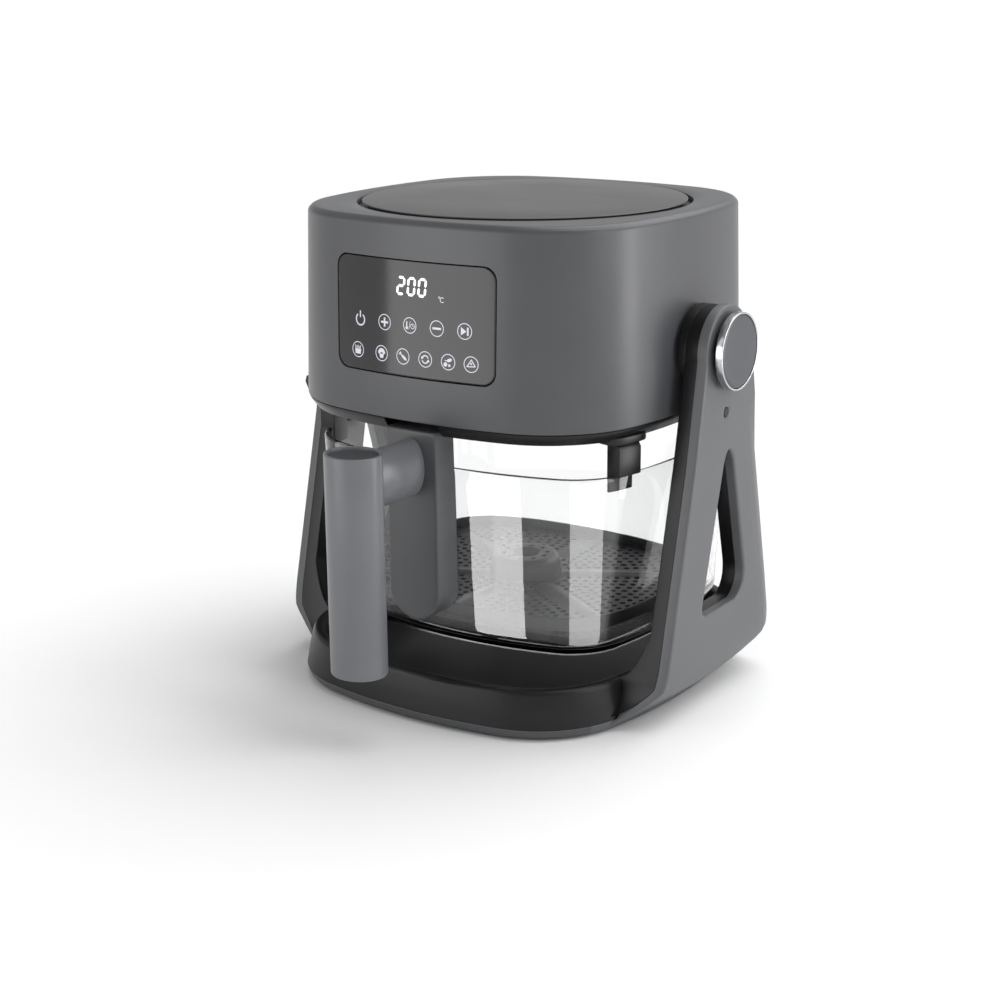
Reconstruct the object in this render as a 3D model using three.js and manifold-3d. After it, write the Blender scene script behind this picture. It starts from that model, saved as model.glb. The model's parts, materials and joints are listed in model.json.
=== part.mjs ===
// A tilting glass air fryer. A squarish head hangs between the two arms of a
// base and carries a glass bowl with a handle; a perforated plate lies in the bowl.
// Millimetres, +Z up, front towards -Y. The pivot line runs along X.
import * as THREE from 'three';
import { mergeVertices } from 'three/addons/utils/BufferGeometryUtils.js';
import Module from 'manifold-3d';

const wasm = await Module();
wasm.setup();

// ---------- driving dimensions ----------
const GAP = 0.3;                 // clearance between neighbouring pieces
const PIVOT_Z = 241;
const CURVE_STEPS = 4;           // facets along each arc of a squarish outline
const FAR = 300;                 // beyond any piece, for cutting boxes

const HEAD = { halfX: 130, halfY: 129.3, bulgeX: 382, bulgeY: 340, corner: 75 };
const HEAD_TOP = 328;
const HEAD_BOTTOM = 200.4;
const HEAD_FLARE = 3.7;          // how much wider the head is at its lower edge
const HEAD_WALL = 2.5;
const RING_BOTTOM = 192.5;
const RING_INSET = 5;
const LID_HOLE_R = 113;
const LID_R = 109.8;
const CHAMBER_R = 106;           // round hot-air chamber above the bowl
const PANEL = { halfX: 62, low: 229, high: 303, corner: 9 };
const LATCH = { reach: 1.5, inner: 17, half: 16, low: 189.5, high: 194.5 };
const THUMB_TAB = { start: 8.4, reach: 13, half: 7, top: 204 };
const SHIELD_TOP = 240;
const ELEMENT = { z: 222, inner: 58, outer: 74, radius: 3.2 };
const GUARD = { low: 198, high: 199.2, innerR: 42, outerR: 88 };
const SENSOR_X = 84;
const SHAFT_R = 3;
const GLAND_Z = 214;

const ARM = { inner: 139.9, split: 149.7, outer: 156.5, hubR: 29.5 };
const CHEEK_INNER = 134.4;       // inner face of the boss round the pivot
const TRUNNION_R = 14;
const BUSH_R = 19;
const PLUG = { radius: 3, z: 200 };  // small blind plug in each arm
const CAP_R = 25.3;
const CAP_FACE = 165;

const BASE = { halfX: 135.5, halfY: 145.5, bulgeX: 382, bulgeY: 340, corner: 75 };
const SKIRT_TOP = 8;
const SKIRT_WALL = 8;
const SEAM_Y = 102;              // joints between the side and the end skirts
const TRAY = { floor: 11, top: 33, blend: 62, inset: 12 };
const FEET = [[-92, -100], [92, -100], [-92, 100], [92, 100]];

const BOWL = { halfX: 127.5, halfY: 113.5, bulgeX: 320, bulgeY: 300, corner: 46 };
const BOWL_RIM = 168;
const BOWL_BOTTOM = 44;
const WALL_START = 60;           // where the rounded bottom has become the wall
const RIM_TO_WALL = 3.5;         // how much narrower the bowl is at that height
const GLASS = 3.6;
const LUG_ANGLE = -13 * Math.PI / 180;
const LUG = { inner: -7.5, outer: 3.4, half: 10, low: BOWL_RIM - 11, high: 189 };

const BRACKET = { halfX: 20, front: -132.5, back: -114, low: 66.8, high: 195 };
const GRIP = { y: -191, halfX: 19, halfY: 17, low: 49, high: 193 };
const GRIP_SPLIT = GRIP.y + 8;   // where the grip's front and back halves meet
const CAP_RECESS = 2.5;
const NECK = { halfX: 10.5, low: 152, high: 190 };
const BOLT = { radius: 2.6, upper: 155, lower: 95 };
const NOTCH_HALF = BRACKET.halfX + 1.2;
const PLATE_Z = 60.5;
const PLATE_INSET = RIM_TO_WALL + GLASS + 8.5;
const PLATE_RIM = { height: 9, wall: 1.5 };
const CRISPER_FOOT = 12;

// The origin lies under the middle of the whole outline, so the pivot line stands behind it.
const ORIGIN_Y = (GRIP.halfY - GRIP.y - BASE.halfY) / 2;

// ---------- materials ----------
const finish = (color, roughness, metalness = 0) =>
  new THREE.MeshStandardMaterial({ color, roughness, metalness });
const GREY = finish(0x77787b, 0.5);
const GRIP_GREY = finish(0x7f8082, 0.45);
const BLACK = finish(0x262626, 0.5);
const PANEL_BLACK = finish(0x2e2d30, 0.15);
const LID_BROWN = finish(0x6d6b6b, 0.5);
const CHROME = finish(0xd8d9da, 0.15, 1);
const BRUSHED = finish(0x8c8d90, 0.35, 1);
const STEEL = finish(0xa4a6a8, 0.35, 1);
const RUBBER = finish(0x1c1c1c, 0.9);
const COATED = finish(0x2a2a2c, 0.45, 0.4);
const BOARD_GREEN = finish(0x1f5a36, 0.6);
const GLASS_CLEAR = new THREE.MeshStandardMaterial({
  color: 0xe8eeee, roughness: 0.05, transparent: true, opacity: 0.3,
});

// ---------- solid helpers ----------
function toSolid(geometry) {
  const bare = geometry.clone();
  bare.deleteAttribute('normal');
  bare.deleteAttribute('uv');
  const merged = mergeVertices(bare, 1e-3);
  return new wasm.Manifold(new wasm.Mesh({
    numProp: 3,
    vertProperties: new Float32Array(merged.attributes.position.array),
    triVerts: new Uint32Array(merged.index.array),
  }));
}

function toGeometry(solid) {
  const mesh = solid.getMesh();
  const geometry = new THREE.BufferGeometry();
  geometry.setAttribute('position', new THREE.BufferAttribute(mesh.vertProperties, 3));
  geometry.setIndex(new THREE.BufferAttribute(mesh.triVerts, 1));
  geometry.computeVertexNormals();
  return geometry;
}

const AXIS_X = new THREE.Vector3(1, 0, 0);
const AXIS_Y = new THREE.Vector3(0, 1, 0);
const AXIS_Z = new THREE.Vector3(0, 0, 1);
const ALONG_X = new THREE.Matrix4().makeBasis(AXIS_Y, AXIS_Z, AXIS_X);
const ALONG_MINUS_Y = new THREE.Matrix4().makeBasis(AXIS_X, AXIS_Z, AXIS_Y.clone().negate());

function box(x0, x1, y0, y1, z0, z1) {
  const geometry = new THREE.BoxGeometry(x1 - x0, y1 - y0, z1 - z0);
  return geometry.translate((x0 + x1) / 2, (y0 + y1) / 2, (z0 + z1) / 2);
}

function extrude(shape, depth, curveSegments = 8) {
  return new THREE.ExtrudeGeometry(shape, { depth, curveSegments, bevelEnabled: false });
}

// A side-view shape (y, z) thickened from x0 to x1.
function extrudeAlongX(shape, x0, x1, curveSegments) {
  return extrude(shape, x1 - x0, curveSegments).applyMatrix4(ALONG_X).translate(x0, 0, 0);
}

// A front-view shape (x, z) thickened from y0 back to y1.
function extrudeAlongY(shape, y0, y1, curveSegments) {
  return extrude(shape, y1 - y0, curveSegments).applyMatrix4(ALONG_MINUS_Y).translate(0, y1, 0);
}

function lathe(points, segments = 28) {
  const profile = points.map(([r, z]) => new THREE.Vector2(r, z));
  return new THREE.LatheGeometry(profile, segments).rotateX(Math.PI / 2);
}

function ringProfile(inner, outer, low, high) {
  return [[inner, low], [outer, low], [outer, high], [inner, high], [inner, low]];
}

// A lathed piece turned so that its axis lies along X, with heights read from the middle outwards.
function latheOnPivot(points, side) {
  return lathe(points).rotateY(side * Math.PI / 2).translate(0, 0, PIVOT_Z);
}

// A round bar from front to back, at height z.
function lengthBar(radius, y0, y1, z, segments = 12) {
  return new THREE.CylinderGeometry(radius, radius, y1 - y0, segments)
    .translate(0, (y0 + y1) / 2, z);
}

// ---------- squarish outlines ----------
// Each side is a shallow arc and each corner a tighter arc tangent to both sides.
function cornerArc({ halfX, halfY, bulgeX, bulgeY, corner }) {
  const sideX = new THREE.Vector2(halfX - bulgeX, 0);
  const sideY = new THREE.Vector2(0, halfY - bulgeY);
  const reachX = bulgeX - corner;
  const reachY = bulgeY - corner;
  const span = sideY.clone().sub(sideX);
  const length = span.length();
  const along = (reachX ** 2 - reachY ** 2 + length ** 2) / (2 * length);
  const across = Math.sqrt(reachX ** 2 - along ** 2);
  const unit = span.normalize();
  const centre = sideX.clone()
    .addScaledVector(unit, along)
    .add(new THREE.Vector2(-unit.y, unit.x).multiplyScalar(across));
  const start = centre.clone().sub(sideX).angle();
  const end = centre.clone().sub(sideY).angle();
  return { centre, start, end };
}

function squarish(outline) {
  const { halfX, halfY, bulgeX, bulgeY, corner } = outline;
  const { centre, start, end } = cornerArc(outline);
  const shape = new THREE.Shape();
  const half = Math.PI / 2;
  const farX = halfX - bulgeX;
  const farY = halfY - bulgeY;
  shape.absarc(farX, 0, bulgeX, -start, start, false);
  shape.absarc(centre.x, centre.y, corner, start, end, false);
  shape.absarc(0, farY, bulgeY, end, Math.PI - end, false);
  shape.absarc(-centre.x, centre.y, corner, Math.PI - end, Math.PI - start, false);
  shape.absarc(-farX, 0, bulgeX, Math.PI - start, Math.PI + start, false);
  shape.absarc(-centre.x, -centre.y, corner, Math.PI + start, Math.PI + end, false);
  shape.absarc(0, -farY, bulgeY, Math.PI + end, 2 * half + Math.PI - end, false);
  shape.absarc(centre.x, -centre.y, corner, 2 * Math.PI - end, 2 * Math.PI - start, false);
  return shape;
}

// The outline repeated at several heights: levels are [z, halfX, halfY].
function stack(outline, levels, curveSegments = CURVE_STEPS) {
  const steps = levels.length - 1;
  const geometry = new THREE.ExtrudeGeometry(squarish(outline), {
    depth: steps, steps, curveSegments, bevelEnabled: false,
  });
  const position = geometry.attributes.position;
  for (let i = 0; i < position.count; i += 1) {
    const [z, halfX, halfY] = levels[Math.round(position.getZ(i))];
    const x = position.getX(i) * halfX / outline.halfX;
    const y = position.getY(i) * halfY / outline.halfY;
    position.setXYZ(i, x, y, z);
  }
  return geometry;
}

function grown(outline, z, grow) {
  return [z, outline.halfX + grow, outline.halfY + grow];
}

// ---------- assembly groups ----------
const airFryer = new THREE.Group();
airFryer.position.y = ORIGIN_Y;
const base = new THREE.Group();
const head = new THREE.Group();
const bowl = new THREE.Group();
const crisper = new THREE.Group();
airFryer.add(base, head, bowl, crisper);

function add(group, name, shape, material) {
  const geometry = shape.isBufferGeometry ? shape : toGeometry(shape);
  const mesh = new THREE.Mesh(geometry, material);
  mesh.name = name;
  group.add(mesh);
  return mesh;
}

const SIDES = [['left', -1], ['right', 1]];

// ---------- base: skirt, tray, bottom plate and feet ----------
function skirtRing() {
  const outer = toSolid(stack(BASE, [
    grown(BASE, 1, -3.5), grown(BASE, 3.5, -1.2), grown(BASE, SKIRT_TOP, 0),
  ]));
  const inner = toSolid(stack(BASE, [
    grown(BASE, 0, -SKIRT_WALL), grown(BASE, SKIRT_TOP + 1, -SKIRT_WALL),
  ]));
  return outer.subtract(inner);
}

function skirtPart(x0, x1, y0, y1) {
  return skirtRing().intersect(toSolid(box(x0, x1, y0, y1, -1, SKIRT_TOP + 1)));
}

function tray() {
  const outer = toSolid(stack(BASE, [
    grown(BASE, SKIRT_TOP + GAP, -0.4), grown(BASE, 20, -2.2), grown(BASE, TRAY.top - 2, -4.4),
    grown(BASE, TRAY.top, -6),
  ]));
  const inner = toSolid(stack(BASE, [
    grown(BASE, TRAY.floor, -TRAY.inset - 7), grown(BASE, TRAY.floor + 5, -TRAY.inset),
    grown(BASE, TRAY.top + 1, -TRAY.inset),
  ]));
  return outer.subtract(inner);
}

function foot(x, y) {
  return lathe([[0, 0], [8, 0], [9, 0.8], [9, 2.7], [0, 2.7]], 20).translate(x, y, 0);
}

// ---------- base: the arms in side view ----------
function hubArc(path, radius) {
  path.absarc(0, PIVOT_Z, radius, 0.2, Math.PI + 0.16, false);
}

function armSide(radius, front, back, low) {
  const shape = new THREE.Shape();
  shape.moveTo(back, low);
  shape.lineTo(73, 69.5);
  shape.lineTo(40.5, 208);
  shape.quadraticCurveTo(37, 232, radius * Math.cos(0.2), PIVOT_Z + radius * Math.sin(0.2));
  hubArc(shape, radius);
  shape.lineTo(-41, 170);
  shape.lineTo(-73, 34);
  shape.quadraticCurveTo(-78, low + 1, front, low);
  shape.closePath();
  return shape;
}

function windowPath() {
  const path = new THREE.Path();
  path.moveTo(-25, 78);
  path.lineTo(-1, 165);
  path.quadraticCurveTo(5, 182, 12, 166);
  path.lineTo(31.5, 88);
  path.quadraticCurveTo(34, 72, 21, 66);
  path.lineTo(-19, 66);
  path.quadraticCurveTo(-29, 66, -25, 78);
  return path;
}

// Front-view limit that rounds the lower end of an outer arm cover inwards.
function coverLimit(side, inset, low) {
  const reach = ARM.outer - inset;
  const shape = new THREE.Shape();
  shape.moveTo(side * 90, low);
  shape.lineTo(side * (132 - inset), low);
  shape.bezierCurveTo(side * (148 - inset), 7 + low, side * reach, 22, side * reach, 47);
  shape.lineTo(side * reach, 300);
  shape.lineTo(side * 90, 300);
  shape.closePath();
  return toSolid(extrudeAlongY(shape, -200, 200, 6));
}

// Plan-view limit that draws the lower arm into the skirt's outline.
function armEnvelope(inset) {
  const rise = [[1, -3.5], [4.5, -1], [8, 2.5], [12, 7.5], [17, 14], [25, 22], [37, 31], [52, 41], [300, 60]];
  return toSolid(stack(BASE, rise.map(([z, grow]) => grown(BASE, z, grow - inset))));
}

// The stretch between two distances from the middle, on one side of the appliance.
function span(side, near, far) {
  return side > 0 ? [near, far] : [-far, -near];
}

function crossBar(radius, [x0, x1], z, segments = 24) {
  return new THREE.CylinderGeometry(radius, radius, x1 - x0, segments)
    .rotateZ(Math.PI / 2).translate((x0 + x1) / 2, 0, z);
}

// The bore for the pivot bush and the hole for the plug, right through one arm.
function armBores(side) {
  const reach = span(side, CHEEK_INNER - 5, ARM.outer + 5);
  return toSolid(crossBar(BUSH_R + GAP, reach, PIVOT_Z))
    .add(toSolid(crossBar(PLUG.radius + GAP, reach, PLUG.z, 20)));
}

function armCover(side) {
  const shape = armSide(ARM.hubR, -101, 86, SKIRT_TOP - 2);
  shape.holes.push(windowPath());
  const slab = toSolid(extrudeAlongX(shape, ...span(side, 100, ARM.outer), 5));
  const core = toSolid(stack(BASE, [grown(BASE, -1, -6), grown(BASE, SKIRT_TOP + 2, -6)]));
  const traySpace = toSolid(stack(BASE, [grown(BASE, SKIRT_TOP, GAP), grown(BASE, TRAY.blend, GAP)]));
  const wall = ARM.outer - ARM.split;
  return slab.intersect(coverLimit(side, 0, 1))
    .intersect(armEnvelope(0))
    .subtract(coverLimit(side, wall, SKIRT_TOP + GAP).intersect(armEnvelope(wall)))
    .subtract(core)
    .subtract(traySpace)
    .add(skirtPart(...span(side, 0, FAR), -SEAM_Y, SEAM_Y))
    .subtract(armBores(side));
}

function armLiner(side) {
  const shape = armSide(ARM.hubR - 1, -80, 82, TRAY.top + GAP);
  shape.holes.push(windowPath());
  const slab = toSolid(extrudeAlongX(shape, ...span(side, ARM.inner, ARM.split - GAP), 5));
  const cheek = crossBar(ARM.hubR - 1, span(side, CHEEK_INNER, ARM.inner + 1), PIVOT_Z, 32);
  const inset = ARM.outer - ARM.split + GAP;
  return slab.intersect(coverLimit(side, inset, SKIRT_TOP + GAP))
    .intersect(armEnvelope(inset))
    .add(toSolid(cheek))
    .subtract(armBores(side));
}

for (const [word, side] of SIDES) {
  add(base, `${word}_arm_cover`, armCover(side), GREY);
  add(base, `${word}_arm_liner`, armLiner(side), BLACK);
  add(base, `${word}_pivot_bush`,
    latheOnPivot(ringProfile(TRUNNION_R + GAP, BUSH_R, CHEEK_INNER, ARM.outer - 1), side), STEEL);
  add(base, `${word}_arm_plug`,
    crossBar(PLUG.radius, span(side, ARM.inner, ARM.outer - 0.5), PLUG.z, 16), BLACK);
}
add(base, 'front_skirt', skirtPart(-FAR, FAR, -FAR, -SEAM_Y - GAP), GREY);
add(base, 'rear_skirt', skirtPart(-FAR, FAR, SEAM_Y + GAP, FAR), GREY);
add(base, 'base_tray', tray(), BLACK);
add(base, 'bottom_plate', stack(BASE, [3, 5].map((z) => grown(BASE, z, -SKIRT_WALL - GAP))), BLACK);
for (const [index, [x, y]] of FEET.entries()) {
  add(base, `foot_${index + 1}`, foot(x, y), RUBBER);
}

// ---------- head: shell, ring, lid and panel ----------
function headBlock(shrink, low, high) {
  const flare = (z) => HEAD_FLARE * (HEAD_TOP - z) / (HEAD_TOP - HEAD_BOTTOM) - shrink;
  return stack(HEAD, [grown(HEAD, low, flare(low)), grown(HEAD, high, flare(high))]);
}

function headOuter() {
  return stack(HEAD, [
    grown(HEAD, HEAD_BOTTOM, HEAD_FLARE), grown(HEAD, HEAD_TOP - 3, 0),
    grown(HEAD, HEAD_TOP - 0.9, -0.9), grown(HEAD, HEAD_TOP, -3),
  ]);
}

function panelPrism(grow, y0, y1) {
  const { halfX, low, high, corner } = PANEL;
  const shape = new THREE.Shape();
  const right = halfX + grow;
  const bottom = low - grow;
  const top = high + grow;
  const half = Math.PI / 2;
  shape.absarc(right - corner, bottom + corner, corner, -half, 0, false);
  shape.absarc(right - corner, top - corner, corner, 0, half, false);
  shape.absarc(corner - right, top - corner, corner, half, Math.PI, false);
  shape.absarc(corner - right, bottom + corner, corner, Math.PI, Math.PI + half, false);
  return toSolid(extrudeAlongY(shape, y0, y1, 4));
}

function headShell() {
  return toSolid(headOuter())
    .subtract(toSolid(headBlock(HEAD_WALL, HEAD_BOTTOM - 1, HEAD_TOP - 3.5)))
    .subtract(toSolid(lathe([[0, 300], [LID_HOLE_R, 300], [LID_HOLE_R, 340], [0, 340]], 48)))
    .subtract(panelPrism(GAP, -150, -100))
    .subtract(toSolid(crossBar(TRUNNION_R + GAP, [-150, 150], PIVOT_Z)))
    .subtract(toSolid(lengthBar(8 + GAP, 120, 150, GLAND_Z, 24)));
}

function displayPanel() {
  const front = toSolid(headBlock(0.2, PANEL.low - 3, PANEL.high + 3));
  const back = toSolid(headBlock(HEAD_WALL - 0.1, PANEL.low - 4, PANEL.high + 4));
  return front.subtract(back).intersect(panelPrism(0, -150, -100));
}

function headRing() {
  const outer = toSolid(stack(HEAD, [
    grown(HEAD, RING_BOTTOM, HEAD_FLARE - RING_INSET),
    grown(HEAD, HEAD_BOTTOM - 2.4, HEAD_FLARE - 1.2),
    grown(HEAD, HEAD_BOTTOM - GAP, HEAD_FLARE - 0.4),
  ]));
  const hole = toSolid(lathe([[0, 180], [CHAMBER_R + 2, 180], [CHAMBER_R + 2, 210], [0, 210]], 40));
  const notch = toSolid(box(-NOTCH_HALF, NOTCH_HALF, -150, BRACKET.back + 2, 180, 210));
  return outer.subtract(hole).subtract(notch)
    .subtract(latchSlot(-1)).subtract(latchSlot(1));
}

function atCorner(geometry, outline, side) {
  const { centre } = cornerArc(outline);
  const angle = side > 0 ? LUG_ANGLE : Math.PI - LUG_ANGLE;
  return geometry.rotateZ(angle).translate(
    side * centre.x + outline.corner * Math.cos(angle),
    -centre.y + outline.corner * Math.sin(angle), 0);
}

// Thumb latches lie in slots under the ring's front corners.
function latchSlot(side) {
  const { reach, inner, half, high } = LATCH;
  const slot = box(-inner - 8, reach, -half - 0.5, half + 0.5, 180, high + GAP);
  return toSolid(atCorner(slot, HEAD, side));
}

function latch(side) {
  const { reach, inner, half, low, high } = LATCH;
  const shape = new THREE.Shape();
  shape.moveTo(-inner, -half);
  shape.lineTo(reach - 5, -half);
  shape.quadraticCurveTo(reach, -half, reach, 0);
  shape.quadraticCurveTo(reach, half, reach - 5, half);
  shape.lineTo(-inner, half);
  shape.closePath();
  return toSolid(atCorner(extrude(shape, high - low, 4).translate(0, 0, low), HEAD, side));
}

// The left latch carries a thumb tab that turns up outside the head.
function thumbTab() {
  const { start, reach, half, top } = THUMB_TAB;
  const shape = new THREE.Shape();
  shape.moveTo(-2, LATCH.low);
  shape.lineTo(reach - 3, LATCH.low + 3);
  shape.lineTo(reach, top - 4);
  shape.lineTo(reach - 1, top);
  shape.lineTo(start, top - 2);
  shape.lineTo(start, LATCH.high);
  shape.lineTo(-2, LATCH.high);
  shape.closePath();
  return toSolid(atCorner(extrudeAlongY(shape, -half, half, 3), HEAD, -1));
}

add(head, 'head_shell', headShell(), GREY);
add(head, 'display_panel', displayPanel(), PANEL_BLACK);
add(head, 'head_ring', headRing(), BLACK);
add(head, 'lid_collar', lathe(ringProfile(100, 118, 319.5, HEAD_TOP - 3.5 - GAP), 40), BLACK);
const lid = [[0, -3.5], [LID_R, -3.5], [LID_R, -1.2], [LID_R - 1.5, -0.2], [70, 0.8], [0, 1.4]];
add(head, 'top_lid', lathe(lid, 48).translate(0, 0, HEAD_TOP), LID_BROWN);
for (const [word, side] of SIDES) {
  add(head, `${word}_bowl_latch`, side < 0 ? latch(side).add(thumbTab()) : latch(side), BLACK);
}

// ---------- head: pivots ----------
for (const [word, side] of SIDES) {
  const shaft = [[7, 118], [22, 118], [22, 122], [TRUNNION_R, 122], [TRUNNION_R, CAP_FACE - 7],
    [7, CAP_FACE - 7], [7, 118]];
  add(head, `${word}_trunnion`, latheOnPivot(shaft, side), STEEL);
  const neck = CAP_FACE - 7 + GAP;
  const cap = [[0, neck], [20, neck], [20, neck + 1.6], [CAP_R - 1.6, neck + 1.6],
    [CAP_R - 1.6, CAP_FACE], [0, CAP_FACE]];
  add(head, `${word}_pivot_cap`, latheOnPivot(cap, side), BRUSHED);
  add(head, `${word}_pivot_cap_ring`,
    latheOnPivot(ringProfile(CAP_R - 1.3, CAP_R, neck + 1.6, CAP_FACE), side), CHROME);
}

// ---------- head: what it holds inside ----------
function heatShield() {
  const out = CHAMBER_R - 1;
  const dish = toSolid(lathe([
    [9, SHIELD_TOP], [9, SHIELD_TOP - 1], [out - 5, SHIELD_TOP - 1], [out - 1, SHIELD_TOP - 5],
    [out - 1, 202], [out + 7, 202], [out + 7, 203], [out, 203], [out, SHIELD_TOP - 4],
    [out - 4, SHIELD_TOP], [9, SHIELD_TOP],
  ]));
  const sensorHole = new THREE.CylinderGeometry(2.5 + GAP, 2.5 + GAP, 10, 16).rotateX(Math.PI / 2);
  return dish.subtract(toSolid(sensorHole.translate(SENSOR_X, 0, SHIELD_TOP)));
}

function heatingElement() {
  const points = [];
  const steps = 40;
  for (let step = 0; step <= steps; step += 1) {
    const angle = 0.25 + step / steps * (4 * Math.PI - 0.5);
    const radius = ELEMENT.inner + (ELEMENT.outer - ELEMENT.inner) * step / steps;
    points.push(new THREE.Vector3(radius * Math.cos(angle), radius * Math.sin(angle), ELEMENT.z));
  }
  const section = new THREE.Shape();
  section.absarc(0, 0, ELEMENT.radius, 0, 2 * Math.PI, false);
  return new THREE.ExtrudeGeometry(section, {
    steps: 44, curveSegments: 6, bevelEnabled: false, extrudePath: new THREE.CatmullRomCurve3(points),
  });
}

function disc(radius, low, high, segments = 24) {
  return toSolid(lathe([[0, low], [radius, low], [radius, high], [0, high]], segments));
}

// Blades leaning by half a radian round a hub with a bore for the shaft.
function fan(hubR, tipR, low, high, blades) {
  const middle = (low + high) / 2;
  let solid = disc(hubR, low, high);
  for (let index = 0; index < blades; index += 1) {
    const blade = box(hubR - 2, tipR, -0.7, 0.7, low + 1 - middle, high - 1 - middle)
      .rotateX(0.5)
      .translate(0, 0, middle)
      .rotateZ(index * 2 * Math.PI / blades);
    solid = solid.add(toSolid(blade));
  }
  return solid.subtract(disc(SHAFT_R + GAP, low - 5, high + 5, 20));
}

function elementGuard() {
  const { low, high, innerR, outerR } = GUARD;
  let solid = toSolid(lathe(ringProfile(outerR, outerR + 8, low, high)))
    .add(toSolid(lathe(ringProfile(innerR, innerR + 2.4, low, high))));
  for (let index = 0; index < 4; index += 1) {
    const spoke = box(innerR + 1, outerR + 2, -1.5, 1.5, low, high)
      .rotateZ(Math.PI / 4 + index * Math.PI / 2);
    solid = solid.add(toSolid(spoke));
  }
  return solid;
}

add(head, 'heat_shield', heatShield(), STEEL);
add(head, 'heating_element', heatingElement(), STEEL);
add(head, 'element_guard', elementGuard(), STEEL);
const motor = [[5, 246], [30, 246], [34, 250], [34, 276], [30, 280], [5, 280], [5, 246]];
add(head, 'motor', lathe(motor, 32), STEEL);
add(head, 'motor_shaft', disc(SHAFT_R, 212, 304, 20), STEEL);
add(head, 'hot_air_fan', fan(8, 50, 211, 217.5, 8), STEEL);
add(head, 'cooling_fan', fan(9, 60, 290, 300, 9), BLACK);
add(head, 'motor_bridge', toSolid(box(-95, 95, -9, 9, 281, 283)).subtract(disc(6, 270, 290, 20)), STEEL);
const sensor = [[0, 204], [2.5, 206], [2.5, 245], [4, 245], [4, 249], [0, 249]];
add(head, 'temperature_sensor', lathe(sensor, 16).translate(SENSOR_X, 0, 0), STEEL);
add(head, 'control_board', box(-54, 54, -120, -118.4, 236, 296), BOARD_GREEN);
add(head, 'power_board', box(-60, 60, 112, 113.6, 225, 285), BOARD_GREEN);

function cordGland() {
  return toSolid(lengthBar(8, 124, 140, GLAND_Z, 24))
    .add(toSolid(lengthBar(11, 134.2, 138, GLAND_Z, 24)))
    .subtract(toSolid(lengthBar(4, 120, 145, GLAND_Z, 24)));
}

add(head, 'cord_gland', cordGland(), RUBBER);

// ---------- bowl ----------
// The glass leans out evenly from above its rounded bottom to its rim.
function bowlAt(z, grow) {
  return grown(BOWL, z, grow - RIM_TO_WALL * (BOWL_RIM - z) / (BOWL_RIM - WALL_START));
}

function bowlLevels(inset, low) {
  return [
    bowlAt(low, -13 - inset), bowlAt(low + 2.5, -6 - inset),
    bowlAt(low + 8, -1.5 - inset), bowlAt(low + 15, -inset),
  ];
}

function glassBowl() {
  const outer = toSolid(stack(BOWL, [...bowlLevels(0, BOWL_BOTTOM), bowlAt(BOWL_RIM, 0)]));
  const inner = toSolid(stack(BOWL, [...bowlLevels(GLASS, BOWL_BOTTOM + GLASS + 0.4),
    bowlAt(BOWL_RIM + 1, -GLASS)]));
  return outer.subtract(inner).subtract(boltHoles(-125));
}

// Both bolts' holes, from y0 back to the inside of the bowl.
function boltHoles(y0) {
  return toSolid(lengthBar(BOLT.radius + GAP, y0, -60, BOLT.upper))
    .add(toSolid(lengthBar(BOLT.radius + GAP, y0, -60, BOLT.lower)));
}

function tongue({ halfX, low, high }) {
  const shape = new THREE.Shape();
  shape.moveTo(halfX, high);
  shape.lineTo(-halfX, high);
  shape.lineTo(-halfX, low + halfX);
  shape.absarc(0, low + halfX, halfX, Math.PI, 2 * Math.PI, false);
  shape.closePath();
  return shape;
}

// The outer faces of the glass, leaving a gap, cut the plates that lie against it.
function bowlBlock(grow) {
  return toSolid(stack(BOWL, [bowlAt(30, grow), bowlAt(240, grow)]));
}

function handleBracket() {
  const plate = toSolid(extrudeAlongY(tongue(BRACKET), BRACKET.front, -100, 8));
  return plate.subtract(bowlBlock(GAP)).subtract(boltHoles(-126));
}

function handleClamp() {
  const shape = tongue({ halfX: BRACKET.halfX - 4, low: BRACKET.low + 8, high: BOWL_RIM - 4 });
  const plate = toSolid(extrudeAlongY(shape, -140, -80, 8));
  return plate.intersect(bowlBlock(-GLASS - GAP))
    .subtract(bowlBlock(-GLASS - GAP - 3))
    .subtract(boltHoles(-140));
}

function ellipse(halfX, halfY, y) {
  const shape = new THREE.Shape();
  shape.absellipse(0, y, halfX, halfY, 0, 2 * Math.PI, false, 0);
  return shape;
}

function gripBlock(inset, low, high) {
  const oval = ellipse(GRIP.halfX - inset, GRIP.halfY - inset, GRIP.y);
  return toSolid(extrude(oval, high - low, 24).translate(0, 0, low));
}

// Half of the grip, from y0 to y1, with the seat for the cap in its top.
function gripHalf(y0, y1) {
  return gripBlock(0, GRIP.low, GRIP.high)
    .intersect(toSolid(box(-40, 40, y0, y1, 0, FAR)))
    .subtract(gripBlock(2.5, GRIP.high - CAP_RECESS - 1.5, GRIP.high + 1));
}

function handleNeck() {
  const { halfX, low, high } = NECK;
  const shape = ellipse(halfX, (high - low) / 2, (low + high) / 2);
  const bar = toSolid(extrudeAlongY(shape, GRIP_SPLIT, BRACKET.front - GAP, 20));
  return bar.subtract(gripBlock(-GAP, GRIP.low, GRIP.high + 20));
}

add(bowl, 'glass_bowl', glassBowl(), GLASS_CLEAR);
add(bowl, 'handle_bracket', handleBracket(), GRIP_GREY);
add(bowl, 'handle_clamp', handleClamp(), BLACK);
add(bowl, 'handle_neck', handleNeck(), GRIP_GREY);
add(bowl, 'grip_front', gripHalf(-FAR, GRIP_SPLIT - GAP), GRIP_GREY);
add(bowl, 'grip_back', gripHalf(GRIP_SPLIT, 0), GRIP_GREY);
add(bowl, 'grip_cap',
  gripBlock(2.9, GRIP.high - CAP_RECESS - 1.2, GRIP.high - CAP_RECESS + 0.6), GRIP_GREY);
for (const word of ['upper', 'lower']) {
  add(bowl, `${word}_handle_bolt`, lengthBar(BOLT.radius, -124, -105.5, BOLT[word]), STEEL);
}

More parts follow.
